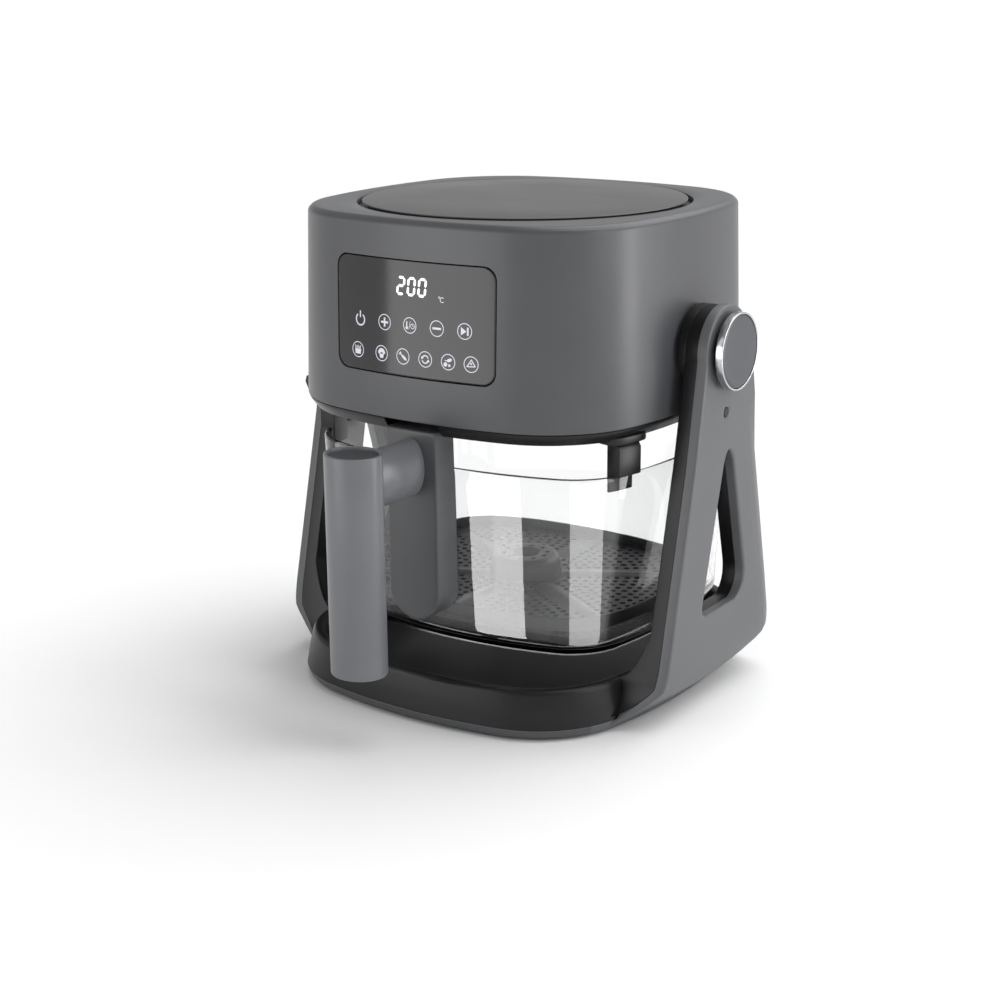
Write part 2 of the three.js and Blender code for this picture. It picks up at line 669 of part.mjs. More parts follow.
// Lugs sit on the glass rim at the front corners, each with a leg inside the glass.
function bowlLug(side) {
  const { inner, outer, half, low, high } = LUG;
  const shape = new THREE.Shape();
  const rimTop = BOWL_RIM + GAP;
  shape.moveTo(inner, low);
  shape.lineTo(-GLASS / 2, low);
  shape.lineTo(-GLASS / 2, rimTop);
  shape.lineTo(outer, rimTop);
  shape.lineTo(outer, high - 3);
  shape.lineTo(outer - 2, high);
  shape.lineTo(inner, high);
  shape.closePath();
  const slice = toSolid(atCorner(extrudeAlongY(shape, -half, half, 4), BOWL, side));
  const glassSpace = toSolid(stack(BOWL, [bowlAt(100, GAP), bowlAt(rimTop, GAP)]));
  return slice.subtract(glassSpace.subtract(bowlBlock(-GLASS - GAP)));
}

for (const [word, side] of SIDES) {
  add(bowl, `${word}_bowl_lug`, bowlLug(side), BLACK);
}

// ---------- crisper plate ----------
function plateBlock(inset, low, high) {
  return toSolid(stack(BOWL, [low, high].map((z) => grown(BOWL, PLATE_Z + z, -PLATE_INSET - inset))));
}

function crisperPlate() {
  const { height, wall } = PLATE_RIM;
  let solid = plateBlock(0, 0, height).subtract(plateBlock(wall, 1.5, height + 1));
  for (let ring = 0; ring < 2; ring += 1) {
    for (let index = 0; index < 12; index += 1) {
      const slot = box(36 + ring * 28, 58 + ring * 28, -3, 3, PLATE_Z - 2, PLATE_Z + 4)
        .rotateZ((index + 0.5) * Math.PI / 6);
      solid = solid.subtract(toSolid(slot));
    }
  }
  return solid.subtract(disc(12, 40, 80));
}

add(crisper, 'crisper_plate', crisperPlate(), COATED);
const hub = [[6, 1.8], [26, 1.8], [24, 14], [21, 17], [10, 17], [8, 8], [6, 8], [6, 1.8]];
add(crisper, 'crisper_hub', lathe(hub, 32).translate(0, 0, PLATE_Z), COATED);
for (let index = 0; index < 4; index += 1) {
  const turn = Math.PI / 4 + index * Math.PI / 2;
  const bumper = box(-6, 6, -5, 5, PLATE_Z - CRISPER_FOOT, PLATE_Z - GAP)
    .rotateZ(turn)
    .translate(93 * Math.cos(turn), 84 * Math.sin(turn), 0);
  add(crisper, `crisper_foot_${index + 1}`, bumper, RUBBER);
}

export default airFryer;
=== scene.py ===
"""Looks of the tilting glass air fryer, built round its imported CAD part.

Shapes are worked out in millimetres about the pivot line, which runs along X, and placed in the row frame.
"""

import json
import math

import bmesh
import bpy
import numpy as np
from mathutils import Matrix, Vector
from mathutils.geometry import delaunay_2d_cdt

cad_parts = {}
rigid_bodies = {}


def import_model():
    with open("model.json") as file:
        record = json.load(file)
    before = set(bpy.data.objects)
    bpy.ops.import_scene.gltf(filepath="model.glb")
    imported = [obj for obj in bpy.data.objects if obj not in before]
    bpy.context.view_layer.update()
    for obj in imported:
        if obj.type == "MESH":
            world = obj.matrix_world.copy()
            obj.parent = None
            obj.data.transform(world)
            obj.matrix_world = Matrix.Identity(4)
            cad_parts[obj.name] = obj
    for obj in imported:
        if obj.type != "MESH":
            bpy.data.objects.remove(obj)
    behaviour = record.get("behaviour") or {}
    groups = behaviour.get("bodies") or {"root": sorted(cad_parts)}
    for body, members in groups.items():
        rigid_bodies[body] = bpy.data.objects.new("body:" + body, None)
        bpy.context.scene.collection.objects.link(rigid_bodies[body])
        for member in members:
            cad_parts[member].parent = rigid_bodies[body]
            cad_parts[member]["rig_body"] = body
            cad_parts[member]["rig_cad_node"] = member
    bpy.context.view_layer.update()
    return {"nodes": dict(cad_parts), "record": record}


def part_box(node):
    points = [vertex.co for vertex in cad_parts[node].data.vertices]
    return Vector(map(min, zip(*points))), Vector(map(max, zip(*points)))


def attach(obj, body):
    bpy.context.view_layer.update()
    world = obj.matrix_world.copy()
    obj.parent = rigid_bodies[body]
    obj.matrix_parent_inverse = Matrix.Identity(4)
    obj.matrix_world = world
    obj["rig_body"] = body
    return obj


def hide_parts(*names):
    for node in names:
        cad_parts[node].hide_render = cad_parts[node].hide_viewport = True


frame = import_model()

# ---------- sizes, the same as the CAD part's ----------
MM = 0.001
GAP = 0.3
shaft_low, shaft_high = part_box("left_trunnion")
ORIGIN_Y = (shaft_low.y + shaft_high.y) / 2 / MM
PIVOT_Z = (shaft_low.z + shaft_high.z) / 2 / MM

HEAD = {"half_x": 130, "half_y": 129.3, "bulge_x": 382, "bulge_y": 340, "corner": 75}
BASE = {"half_x": 135.5, "half_y": 145.5, "bulge_x": 382, "bulge_y": 340, "corner": 75}
BOWL = {"half_x": 127.5, "half_y": 113.5, "bulge_x": 320, "bulge_y": 300, "corner": 46}
HEAD_TOP, HEAD_BOTTOM, HEAD_FLARE, HEAD_WALL = 328, 200.4, 3.7, 2.5
PANEL = {"half_x": 62, "low": 229, "high": 303, "corner": 9}
ARM = {"inner": 139.9, "split": 149.7, "outer": 156.5, "hub": 29.5, "cheek": 134.4}
SKIRT_TOP, SKIRT_WALL, SEAM_Y = 8, 8, 102
TRAY = {"floor": 11, "top": 33, "inset": 12}
BOWL_RIM, BOWL_BOTTOM, WALL_START, RIM_TO_WALL, GLASS = 168, 44, 60, 3.5, 3.6
BRACKET = {"half_x": 20, "front": -132.5, "low": 66.8, "high": 195}
GRIP = {"y": -191, "half_x": 19, "half_y": 17, "low": 49, "high": 193, "split": -183}
NECK = {"half_x": 10.5, "low": 152, "high": 190}
CAP_R, CAP_FACE = 25.3, 165
PLATE_Z, PLATE_INSET, PLATE_RIM, PLATE_SHEET = 60.5, 15.6, 9, 1.5

# ---------- outlines and profiles ----------
ARC_STEPS = 18


def corner_arc(o):
    """Centre of the corner arc that touches both side arcs, and the angles it runs between."""
    side_x = np.array([o["half_x"] - o["bulge_x"], 0.0])
    side_y = np.array([0.0, o["half_y"] - o["bulge_y"]])
    reach_x, reach_y = o["bulge_x"] - o["corner"], o["bulge_y"] - o["corner"]
    span = side_y - side_x
    length = np.hypot(*span)
    along = (reach_x**2 - reach_y**2 + length**2) / (2 * length)
    across = math.sqrt(reach_x**2 - along**2)
    unit = span / length
    centre = side_x + unit * along + np.array([-unit[1], unit[0]]) * across
    start = math.atan2(*(centre - side_x)[::-1])
    end = math.atan2(*(centre - side_y)[::-1])
    return centre, start, end


def squarish(o, grow=0.0):
    """The outline's points, grown or shrunk, anticlockwise from the right-hand side."""
    (cx, cy), start, end = corner_arc(o)
    far_x, far_y = o["half_x"] - o["bulge_x"], o["half_y"] - o["bulge_y"]
    pi = math.pi
    arcs = [
        (far_x, 0, o["bulge_x"], -start, start),
        (cx, cy, o["corner"], start, end),
        (0, far_y, o["bulge_y"], end, pi - end),
        (-cx, cy, o["corner"], pi - end, pi - start),
        (-far_x, 0, o["bulge_x"], pi - start, pi + start),
        (-cx, -cy, o["corner"], pi + start, pi + end),
        (0, -far_y, o["bulge_y"], pi + end, 2 * pi - end),
        (cx, -cy, o["corner"], 2 * pi - end, 2 * pi - start),
    ]
    points = []
    for x, y, radius, a, b in arcs:
        turn = np.linspace(a, b, ARC_STEPS, endpoint=False)
        points.append(np.column_stack([x + radius * np.cos(turn), y + radius * np.sin(turn)]))
    scale = [(o["half_x"] + grow) / o["half_x"], (o["half_y"] + grow) / o["half_y"]]
    return np.vstack(points) * scale


def side_x(o, y, grow):
    """How far out the grown outline's right-hand side is at y."""
    points = squarish(o, grow)
    points = points[points[:, 0] > 0]
    points = points[np.argsort(points[:, 1])]
    return np.interp(y, points[:, 1], points[:, 0])


def front_y(o, x, grow):
    """Where the grown outline's front is at x."""
    flat = x * o["half_x"] / (o["half_x"] + grow)
    depth = o["half_y"] - o["bulge_y"] + np.sqrt(o["bulge_y"] ** 2 - flat**2)
    return -depth * (o["half_y"] + grow) / o["half_y"]


def soften(points, radius, closed=False, steps=4):
    """The same line of points with its corners rounded."""
    points = [np.array(p, float) for p in points]
    out = []
    for i, p in enumerate(points):
        if not closed and i in (0, len(points) - 1):
            out.append(p)
            continue
        before, after = points[i - 1] - p, points[(i + 1) % len(points)] - p
        reach = min(radius, 0.45 * np.linalg.norm(before), 0.45 * np.linalg.norm(after))
        a = p + before / np.linalg.norm(before) * reach
        b = p + after / np.linalg.norm(after) * reach
        for t in np.linspace(0, 1, steps + 1):
            out.append((1 - t) ** 2 * a + 2 * t * (1 - t) * p + t**2 * b)
    return np.array(out)


def curve_to(points, control, end, steps=10):
    """Adds a quadratic curve from the last point to end."""
    start, control, end = np.array(points[-1]), np.array(control), np.array(end)
    for t in np.linspace(0, 1, steps + 1)[1:]:
        points.append(tuple((1 - t) ** 2 * start + 2 * t * (1 - t) * control + t**2 * end))


def arc(centre, radius, start, end, steps):
    turn = np.linspace(start, end, steps + 1)
    return [(centre[0] + radius * math.cos(a), centre[1] + radius * math.sin(a)) for a in turn]


def resample(points, most):
    """The closed line with no stretch longer than most."""
    out = []
    for a, b in zip(points, np.roll(points, -1, axis=0)):
        count = max(1, math.ceil(np.linalg.norm(np.subtract(b, a)) / most))
        out += [a + (b - a) * k / count for k in range(count)]
    return np.array(out)


# ---------- meshes ----------
ROW_SHARE = 0.87             # row spacing of an even triangular grid, against its point spacing
EDGE_DEPTHS = (0.12, 0.4, 1.0, 2.0)   # rings of points along a rounded edge, in edge radii
EDGE_CLEAR = 2.2             # the grid starts this many edge radii in


def loft(rings, closed=False):
    """Faces between neighbouring rings of points; an open loft gets a face at each end."""
    n, faces = len(rings[0]), []
    for k in range(len(rings) - (not closed)):
        a, b = k * n, (k + 1) % len(rings) * n
        faces += [(a + i, a + (i + 1) % n, b + (i + 1) % n, b + i) for i in range(n)]
    if not closed:
        faces += [tuple(range(n)), tuple(range((len(rings) - 1) * n, len(rings) * n))]
    return np.vstack(rings), faces


def level(points, z):
    return np.column_stack([points, np.full(len(points), float(z))])


def block(o, profile, closed=False):
    """The outline repeated at each (grow, height) of a profile."""
    return loft([level(squarish(o, grow), z) for grow, z in profile], closed)


def lathe(profile, closed=False, segments=96):
    turn = np.linspace(0, 2 * math.pi, segments, endpoint=False)
    ring = np.column_stack([np.cos(turn), np.sin(turn)])
    return loft([level(ring * max(radius, 0.01), z) for radius, z in profile], closed)


def on_pivot(geometry, side):
    """A lathed shape turned so that its axis is the pivot line and its heights run outwards."""
    points, faces = geometry
    return np.column_stack([side * points[:, 2], points[:, 0], PIVOT_Z + points[:, 1]]), faces


def box(x0, x1, y0, y1, z0, z1):
    ring = np.array([(x0, y0), (x1, y0), (x1, y1), (x0, y1)], float)
    return loft([level(ring, z0), level(ring, z1)])


def boundary(points, loops):
    """Whether each point is inside the loops, and its distance from their lines."""
    inside, distance = np.zeros(len(points), bool), np.full(len(points), 1e9)
    for loop in loops:
        for a, b in zip(loop, np.roll(loop, -1, axis=0)):
            along = b - a
            t = np.clip(((points - a) @ along) / (along @ along), 0, 1)
            distance = np.minimum(distance, np.hypot(*(points - a - t[:, None] * along).T))
            if a[1] != b[1]:
                cross = (points[:, 1] < a[1]) != (points[:, 1] < b[1])
                x = a[0] + (points[:, 1] - a[1]) / (b[1] - a[1]) * (b[0] - a[0])
                inside ^= cross & (points[:, 0] < x)
    return inside, distance


def plate(loops, front, back, edge=1.0, step=4.0):
    """A sheet in its own plane. front and back place its points, given their distance from an edge."""
    low, high = np.min(loops[0], axis=0), np.max(loops[0], axis=0)
    grid = np.array([
        (x + (row % 2) * step / 2, y)
        for row, y in enumerate(np.arange(low[1], high[1], step * ROW_SHARE))
        for x in np.arange(low[0], high[0], step)
    ])
    inside, distance = boundary(grid, loops)
    points = [*loops, grid[inside & (distance > edge * EDGE_CLEAR + 0.3)]]
    for depth in EDGE_DEPTHS if edge else ():
        for loop in loops:
            ahead = np.roll(loop, -1, axis=0) - np.roll(loop, 1, axis=0)
            normal = np.column_stack([-ahead[:, 1], ahead[:, 0]])
            normal /= np.linalg.norm(normal, axis=1)[:, None]
            for sign in (1, -1):
                ring = loop + sign * normal * depth * edge
                inside, distance = boundary(ring, loops)
                points.append(ring[inside & (distance > depth * edge * 0.9)])
    edges, start = [], 0
    for loop in loops:
        edges += [(start + i, start + (i + 1) % len(loop)) for i in range(len(loop))]
        start += len(loop)
    flat = [Vector(p) for p in np.vstack(points)]
    made, _, triangles, origins, _, _ = delaunay_2d_cdt(flat, edges, [], 0, 1e-5)
    made = np.array([tuple(v) for v in made])
    triangles = np.array(triangles)
    kept, _ = boundary(made[triangles].mean(axis=1), loops)
    triangles = triangles[kept]
    _, distance = boundary(made, loops)
    n = len(made)
    faces = [tuple(t) for t in triangles] + [tuple(t[::-1] + n) for t in triangles]
    place = {o: i for i, group in enumerate(origins) for o in group}
    faces += [(place[a], place[a] + n, place[b] + n, place[b]) for a, b in edges]
    return np.vstack([front(made, distance), back(made, distance)]), faces


def lip(distance, radius):
    """How far a rounded edge of this radius has dropped at a distance in from the edge."""
    short = radius - np.minimum(distance, radius)
    return radius - np.sqrt(np.maximum(radius**2 - short**2, 0))


def joined(*geometries):
    points, faces, start = [], [], 0
    for some, more in geometries:
        points.append(some)
        faces += [tuple(i + start for i in face) for face in more]
        start += len(some)
    return np.vstack(points), faces


def build(name, geometry):
    """A mesh object in the row frame with its faces all turned outwards."""
    points, faces = geometry
    mesh = bpy.data.meshes.new(name)
    mesh.from_pydata((np.asarray(points) + [0, ORIGIN_Y, 0]) * MM, [], faces)
    shape = bmesh.new()
    shape.from_mesh(mesh)
    bmesh.ops.remove_doubles(shape, verts=shape.verts, dist=1e-7)
    loose = [v for v in shape.verts if not v.link_faces]
    bmesh.ops.delete(shape, geom=loose, context="VERTS")
    bmesh.ops.recalc_face_normals(shape, faces=shape.faces)
    shape.to_mesh(mesh)
    shape.free()
    obj = bpy.data.objects.new(name, mesh)
    bpy.context.scene.collection.objects.link(obj)
    return obj


def bake(obj):
    """Gives the object the mesh that its modifiers make."""
    evaluated = obj.evaluated_get(bpy.context.evaluated_depsgraph_get())
    mesh = bpy.data.meshes.new_from_object(evaluated)
    obj.modifiers.clear()
    obj.data = mesh


def cut(obj, geometry, operation="DIFFERENCE"):
    tool = build("tool", geometry)
    change = obj.modifiers.new("cut", "BOOLEAN")
    change.object, change.operation, change.solver = tool, operation, "EXACT"
    bake(obj)
    bpy.data.objects.remove(tool)
    return obj


BEVEL_ANGLE = math.radians(35)
BODY_OF = {n: b for b, ns in frame["record"]["behaviour"]["bodies"].items() for n in ns}


def finish_piece(obj, material, nodes, smooth=32, bevel=None):
    """Gives a piece its material and smooth shading, and stands it in for its CAD nodes."""
    obj.data.materials.clear()
    obj.data.materials.append(material)
    if bevel:
        change = obj.modifiers.new("bevel", "BEVEL")
        change.width, change.segments, change.limit_method = bevel * MM, 3, "ANGLE"
        change.angle_limit = BEVEL_ANGLE
        bake(obj)
    obj.data.shade_smooth()
    obj.data.set_sharp_from_angle(angle=math.radians(smooth))
    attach(obj, BODY_OF[nodes[0]])
    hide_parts(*nodes)
    return obj


def piece(name, geometry, material, nodes, **options):
    return finish_piece(build(name, geometry), material, nodes, **options)


def from_cad(node, material, bevel=0.4, smooth=40):
    """A bevelled copy of a CAD node that stands in for it."""
    obj = frame["nodes"][node].copy()
    obj.data = obj.data.copy()
    obj.name = node + "_form"
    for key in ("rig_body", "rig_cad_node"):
        del obj[key]
    bpy.context.scene.collection.objects.link(obj)
    shape = bmesh.new()
    shape.from_mesh(obj.data)
    bmesh.ops.remove_doubles(shape, verts=shape.verts, dist=1e-6)
    bmesh.ops.dissolve_limit(
        shape, angle_limit=math.radians(1.5), verts=shape.verts, edges=shape.edges)
    shape.to_mesh(obj.data)
    shape.free()
    return finish_piece(obj, material, [node], smooth, bevel)


# ---------- materials ----------
def grey(value):
    """An sRGB level from 0 to 255 as linear light."""
    level_ = value / 255
    return level_ / 12.92 if level_ <= 0.04045 else ((level_ + 0.055) / 1.055) ** 2.4


def rgb(red, green, blue):
    return (grey(red), grey(green), grey(blue), 1)


def new_material(name, slot):
    material = bpy.data.materials.new(name)
    material.use_nodes = True
    material["slot"] = slot
    nodes = material.node_tree.nodes
    return material, nodes, material.node_tree.links, nodes["Principled BSDF"]


def noise(nodes, links, scale, detail=3.0, stretch=(1, 1, 1)):
    """Noise in the row frame's own metres, so that its grain has a real size."""
    place = nodes.new("ShaderNodeTexCoord")
    mapping = nodes.new("ShaderNodeMapping")
    mapping.inputs["Scale"].default_value = stretch
    texture = nodes.new("ShaderNodeTexNoise")
    texture.inputs["Scale"].default_value = scale
    texture.inputs["Detail"].default_value = detail
    links.new(place.outputs["Object"], mapping.inputs["Vector"])
    links.new(mapping.outputs["Vector"], texture.inputs["Vector"])
    return texture.outputs["Fac"]


def ranged(nodes, links, source, low, high):
    spread = nodes.new("ShaderNodeMapRange")
    spread.inputs["From Min"].default_value = 0.3
    spread.inputs["From Max"].default_value = 0.7
    spread.inputs["To Min"].default_value = low
    spread.inputs["To Max"].default_value = high
    links.new(source, spread.inputs["Value"])
    return spread.outputs["Result"]


def tinted(nodes, links, source, dark, light):
    ramp = nodes.new("ShaderNodeValToRGB")
    ramp.color_ramp.elements[0].position, ramp.color_ramp.elements[0].color = 0.3, dark
    ramp.color_ramp.elements[1].position, ramp.color_ramp.elements[1].color = 0.7, light
    links.new(source, ramp.inputs["Fac"])
    return ramp.outputs["Color"]


def moulded(name, slot, colour, roughness, grain=1500, depth=0.05, metallic=0.0, vary=0.05,
            stretch=(1, 1, 1), **constants):
    """A moulded or metal surface: fine grain in its bump, soft mottling in colour and gloss."""
    material, nodes, links, shader = new_material(name, slot)
    broad = noise(nodes, links, 22, 2)
    fine = noise(nodes, links, grain, 4, stretch)
    dark = tuple(c * (1 - vary) for c in colour[:3]) + (1,)
    light = tuple(min(1, c * (1 + vary)) for c in colour[:3]) + (1,)
    links.new(tinted(nodes, links, broad, dark, light), shader.inputs["Base Color"])
    mixed = nodes.new("ShaderNodeMath")
    mixed.operation = "MULTIPLY_ADD"
    mixed.inputs[1].default_value = 0.6
    links.new(fine, mixed.inputs[0])
    half = nodes.new("ShaderNodeMath")
    half.operation = "MULTIPLY"
    half.inputs[1].default_value = 0.4
    links.new(broad, half.inputs[0])
    links.new(half.outputs[0], mixed.inputs[2])
    gloss = ranged(nodes, links, mixed.outputs[0], roughness * 0.88, roughness * 1.12)
    links.new(gloss, shader.inputs["Roughness"])
    bump = nodes.new("ShaderNodeBump")
    bump.inputs["Strength"].default_value = depth
    bump.inputs["Distance"].default_value = 0.0004
    links.new(fine, bump.inputs["Height"])
    links.new(bump.outputs["Normal"], shader.inputs["Normal"])
    shader.inputs["Metallic"].default_value = metallic
    for socket, value in constants.items():
        shader.inputs[socket.replace("_", " ")].default_value = value
    return material


def clear_glass():
    """Clear glass whose shadow is faint, with slight smears in its gloss."""
    material, nodes, links, shader = new_material("bowl_glass", "clear_glass")
    shader.inputs["Base Color"].default_value = (0.98, 0.985, 0.985, 1)
    shader.inputs["Transmission Weight"].default_value = 1.0
    shader.inputs["IOR"].default_value = 1.12
    shader.inputs["Coat Weight"].default_value = 1.0
    shader.inputs["Coat Roughness"].default_value = 0.01
    shader.inputs["Coat IOR"].default_value = 1.5
    smears = noise(nodes, links, 9, 4, (1, 1, 2.5))
    links.new(ranged(nodes, links, smears, 0.0, 0.05), shader.inputs["Roughness"])
    path = nodes.new("ShaderNodeLightPath")
    open_ = nodes.new("ShaderNodeBsdfTransparent")
    open_.inputs["Color"].default_value = (0.93, 0.94, 0.94, 1)
    mix = nodes.new("ShaderNodeMixShader")
    links.new(path.outputs["Is Shadow Ray"], mix.inputs["Fac"])
    links.new(shader.outputs["BSDF"], mix.inputs[1])
    links.new(open_.outputs["BSDF"], mix.inputs[2])
    links.new(mix.outputs["Shader"], nodes["Material Output"].inputs["Surface"])
    return material


def glowing(name, colour, strength):
    """Lit marks behind the panel, a little uneven as such marks are."""
    material, nodes, links, shader = new_material(name, "panel_gloss")
    shader.inputs["Base Color"].default_value = (0.02, 0.02, 0.02, 1)
    shader.inputs["Emission Strength"].default_value = strength
    cloud = noise(nodes, links, 400, 2)
    dim = tuple(c * 0.85 for c in colour[:3]) + (1,)
    links.new(tinted(nodes, links, cloud, dim, colour), shader.inputs["Emission Color"])
    links.new(ranged(nodes, links, cloud, 0.2, 0.3), shader.inputs["Roughness"])
    return material


def board():
    """A circuit board: green lacquer with paler tracks and pads."""
    material, nodes, links, shader = new_material("board_lacquer", "circuit_board")
    place = nodes.new("ShaderNodeTexCoord")
    cells = nodes.new("ShaderNodeTexVoronoi")
    cells.distance = "CHEBYCHEV"
    cells.inputs["Scale"].default_value = 160
    links.new(place.outputs["Object"], cells.inputs["Vector"])
    tracks = tinted(nodes, links, cells.outputs["Distance"], rgb(170, 175, 120), rgb(24, 84, 52))
    links.new(tracks, shader.inputs["Base Color"])
    links.new(ranged(nodes, links, cells.outputs["Distance"], 0.3, 0.55), shader.inputs["Roughness"])
    return material


def ringed_metal():
    """Metal turned on a lathe about the pivot line, with fine rings in its finish."""
    material, nodes, links, shader = new_material("cap_metal", "brushed_aluminium")
    place = nodes.new("ShaderNodeTexCoord")
    mapping = nodes.new("ShaderNodeMapping")
    mapping.inputs["Location"].default_value = (0, -ORIGIN_Y * MM, -PIVOT_Z * MM)
    mapping.inputs["Scale"].default_value = (0, 1, 1)
    rings = nodes.new("ShaderNodeTexWave")
    rings.wave_type, rings.rings_direction = "RINGS", "X"
    rings.inputs["Scale"].default_value = 900
    rings.inputs["Distortion"].default_value = 1.5
    links.new(place.outputs["Object"], mapping.inputs["Vector"])
    links.new(mapping.outputs["Vector"], rings.inputs["Vector"])
    shades = tinted(nodes, links, rings.outputs["Fac"], rgb(80, 81, 84), rgb(102, 103, 106))
    links.new(shades, shader.inputs["Base Color"])
    links.new(ranged(nodes, links, rings.outputs["Fac"], 0.34, 0.46), shader.inputs["Roughness"])
    bump = nodes.new("ShaderNodeBump")
    bump.inputs["Strength"].default_value = 0.06
    bump.inputs["Distance"].default_value = 0.0002
    links.new(rings.outputs["Fac"], bump.inputs["Height"])
    links.new(bump.outputs["Normal"], shader.inputs["Normal"])
    shader.inputs["Metallic"].default_value = 0.9
    return material


BODY_GREY = moulded("body_plastic", "body_grey", rgb(79, 80, 83), 0.38, depth=0.08)
# The arms' grey is the body grey painted lighter: a painted highlight for the light falling on the arms'
# outward faces.
ARM_GREY_PAINTED_LIT = moulded("arm_plastic_painted_lit", "body_grey", rgb(95, 96, 99), 0.42, depth=0.08)
GRIP_GREY = moulded("grip_plastic", "grip_grey", rgb(112, 113, 117), 0.34, depth=0.05)
BRACKET_GREY = moulded("bracket_plastic", "grip_grey", rgb(80, 81, 83), 0.42, depth=0.06)
CAP_GREY = moulded("cap_plastic", "grip_grey", rgb(66, 67, 70), 0.42, depth=0.06)
BLACK = moulded("black_plastic", "black_plastic", rgb(16, 16, 17), 0.36, depth=0.08,
                Specular_IOR_Level=0.35)
LID_BROWN = moulded("lid_plastic", "lid_plastic", rgb(66, 63, 63), 0.36, depth=0.05)
PANEL_BLACK = moulded("panel_face", "panel_gloss", rgb(30, 28, 32), 0.12, 300, 0.01)
CHROME = moulded("polished_rim", "chrome", rgb(196, 197, 199), 0.16, 900, 0.02, 1.0, 0.02)
CAP_METAL = ringed_metal()
STEEL = moulded("sheet_steel", "steel", rgb(168, 169, 171), 0.33, 700, 0.08, 1.0, 0.06, (1, 1, 8))
RUBBER = moulded("soft_rubber", "rubber", rgb(26, 26, 27), 0.8, 900, 0.25)
COATED = moulded("coated_steel", "coated_steel", rgb(58, 58, 60), 0.34, 1100, 0.15, 0.4)
BOARD = board()
CLEAR = clear_glass()
DIGIT_GLOW = glowing("digit_glow", (1, 0.98, 1, 1), 1.6)
ICON_GLOW = glowing("icon_glow", (0.86, 0.84, 0.93, 1), 0.85)


# ---------- base ----------
RISE_Z = [1, 4.5, 8, 12, 17, 25, 37, 52, 300]
RISE_GROW = [-3.5, -1, 2.5, 7.5, 14, 22, 31, 41, 60]
FOOT_BEND = [(132, 1), (148, 8), (ARM["outer"], 22), (ARM["outer"], 47)]
SKIRT_PROFILE = soften(
    [(-3.5, 1), (-1.2, 3.5), (0, SKIRT_TOP), (-SKIRT_WALL, SKIRT_TOP), (-SKIRT_WALL, 1)], 0.8, True)
TRAY_EDGE, LINER_SWEEP, WINDOW_LOW = -6, 30, 62
BUSH_HOLE, PLUG_HOLE, PLUG_Z = 19.3, 3.3, 200
FAR = 400


def foot_bend():
    """Heights and reaches along the curve that draws the lower end of an arm inwards."""
    t = np.linspace(0, 1, 40)[:, None]
    p = [np.array(q, float) for q in FOOT_BEND]
    line = (1 - t) ** 3 * p[0] + 3 * t * (1 - t) ** 2 * p[1] + 3 * t**2 * (1 - t) * p[2] + t**3 * p[3]
    return line[:, 1], line[:, 0]


def envelope_x(y, z):
    """The reach of the arm's plan-view limit, which draws its lower end into the skirt's outline."""
    grow = np.interp(z, RISE_Z, RISE_GROW)
    whole = np.floor(grow)
    reach = np.zeros(len(y))
    for step in np.unique(whole):
        here = whole == step
        low, high = side_x(BASE, y[here], step), side_x(BASE, y[here], step + 1)
        reach[here] = low + (high - low) * (grow[here] - step)
    return reach


def arm_reach(y, z):
    heights, reaches = foot_bend()
    return np.minimum(np.interp(z, heights, reaches), envelope_x(y, z))


def arm_side(radius, front, back, low):
    """An arm in side view, (y, z), from its lower rear corner round over the hub."""
    points = [(back, low), (73, 69.5), (40.5, 208)]
    hub = (radius * math.cos(0.2), PIVOT_Z + radius * math.sin(0.2))
    curve_to(points, (37, 232), hub, 8)
    points += arc((0, PIVOT_Z), radius, 0.2, math.pi + 0.16, 60)[1:]
    points += [(-41, 170), (-73, 34)]
    curve_to(points, (-78, low + 1), (front, low), 14)
    head, tail = points[:3], points[3:]
    return resample(np.vstack([head[0], soften(head, 9)[1:-1], head[2], tail]), 3.0)


def window_side():
    points = [(-25, 78), (-1, 165)]
    curve_to(points, (5, 182), (12, 166), 10)
    points.append((31.5, 88))
    curve_to(points, (34, 72), (21, 66), 10)
    points.append((-19, 66))
    curve_to(points, (-29, 66), (-25, 78), 10)
    return resample(np.array(points[:-1]), 3.0)


def ring_loop(centre, radius, count=28):
    return np.array(arc(centre, radius, 0, 2 * math.pi, count)[:-1])


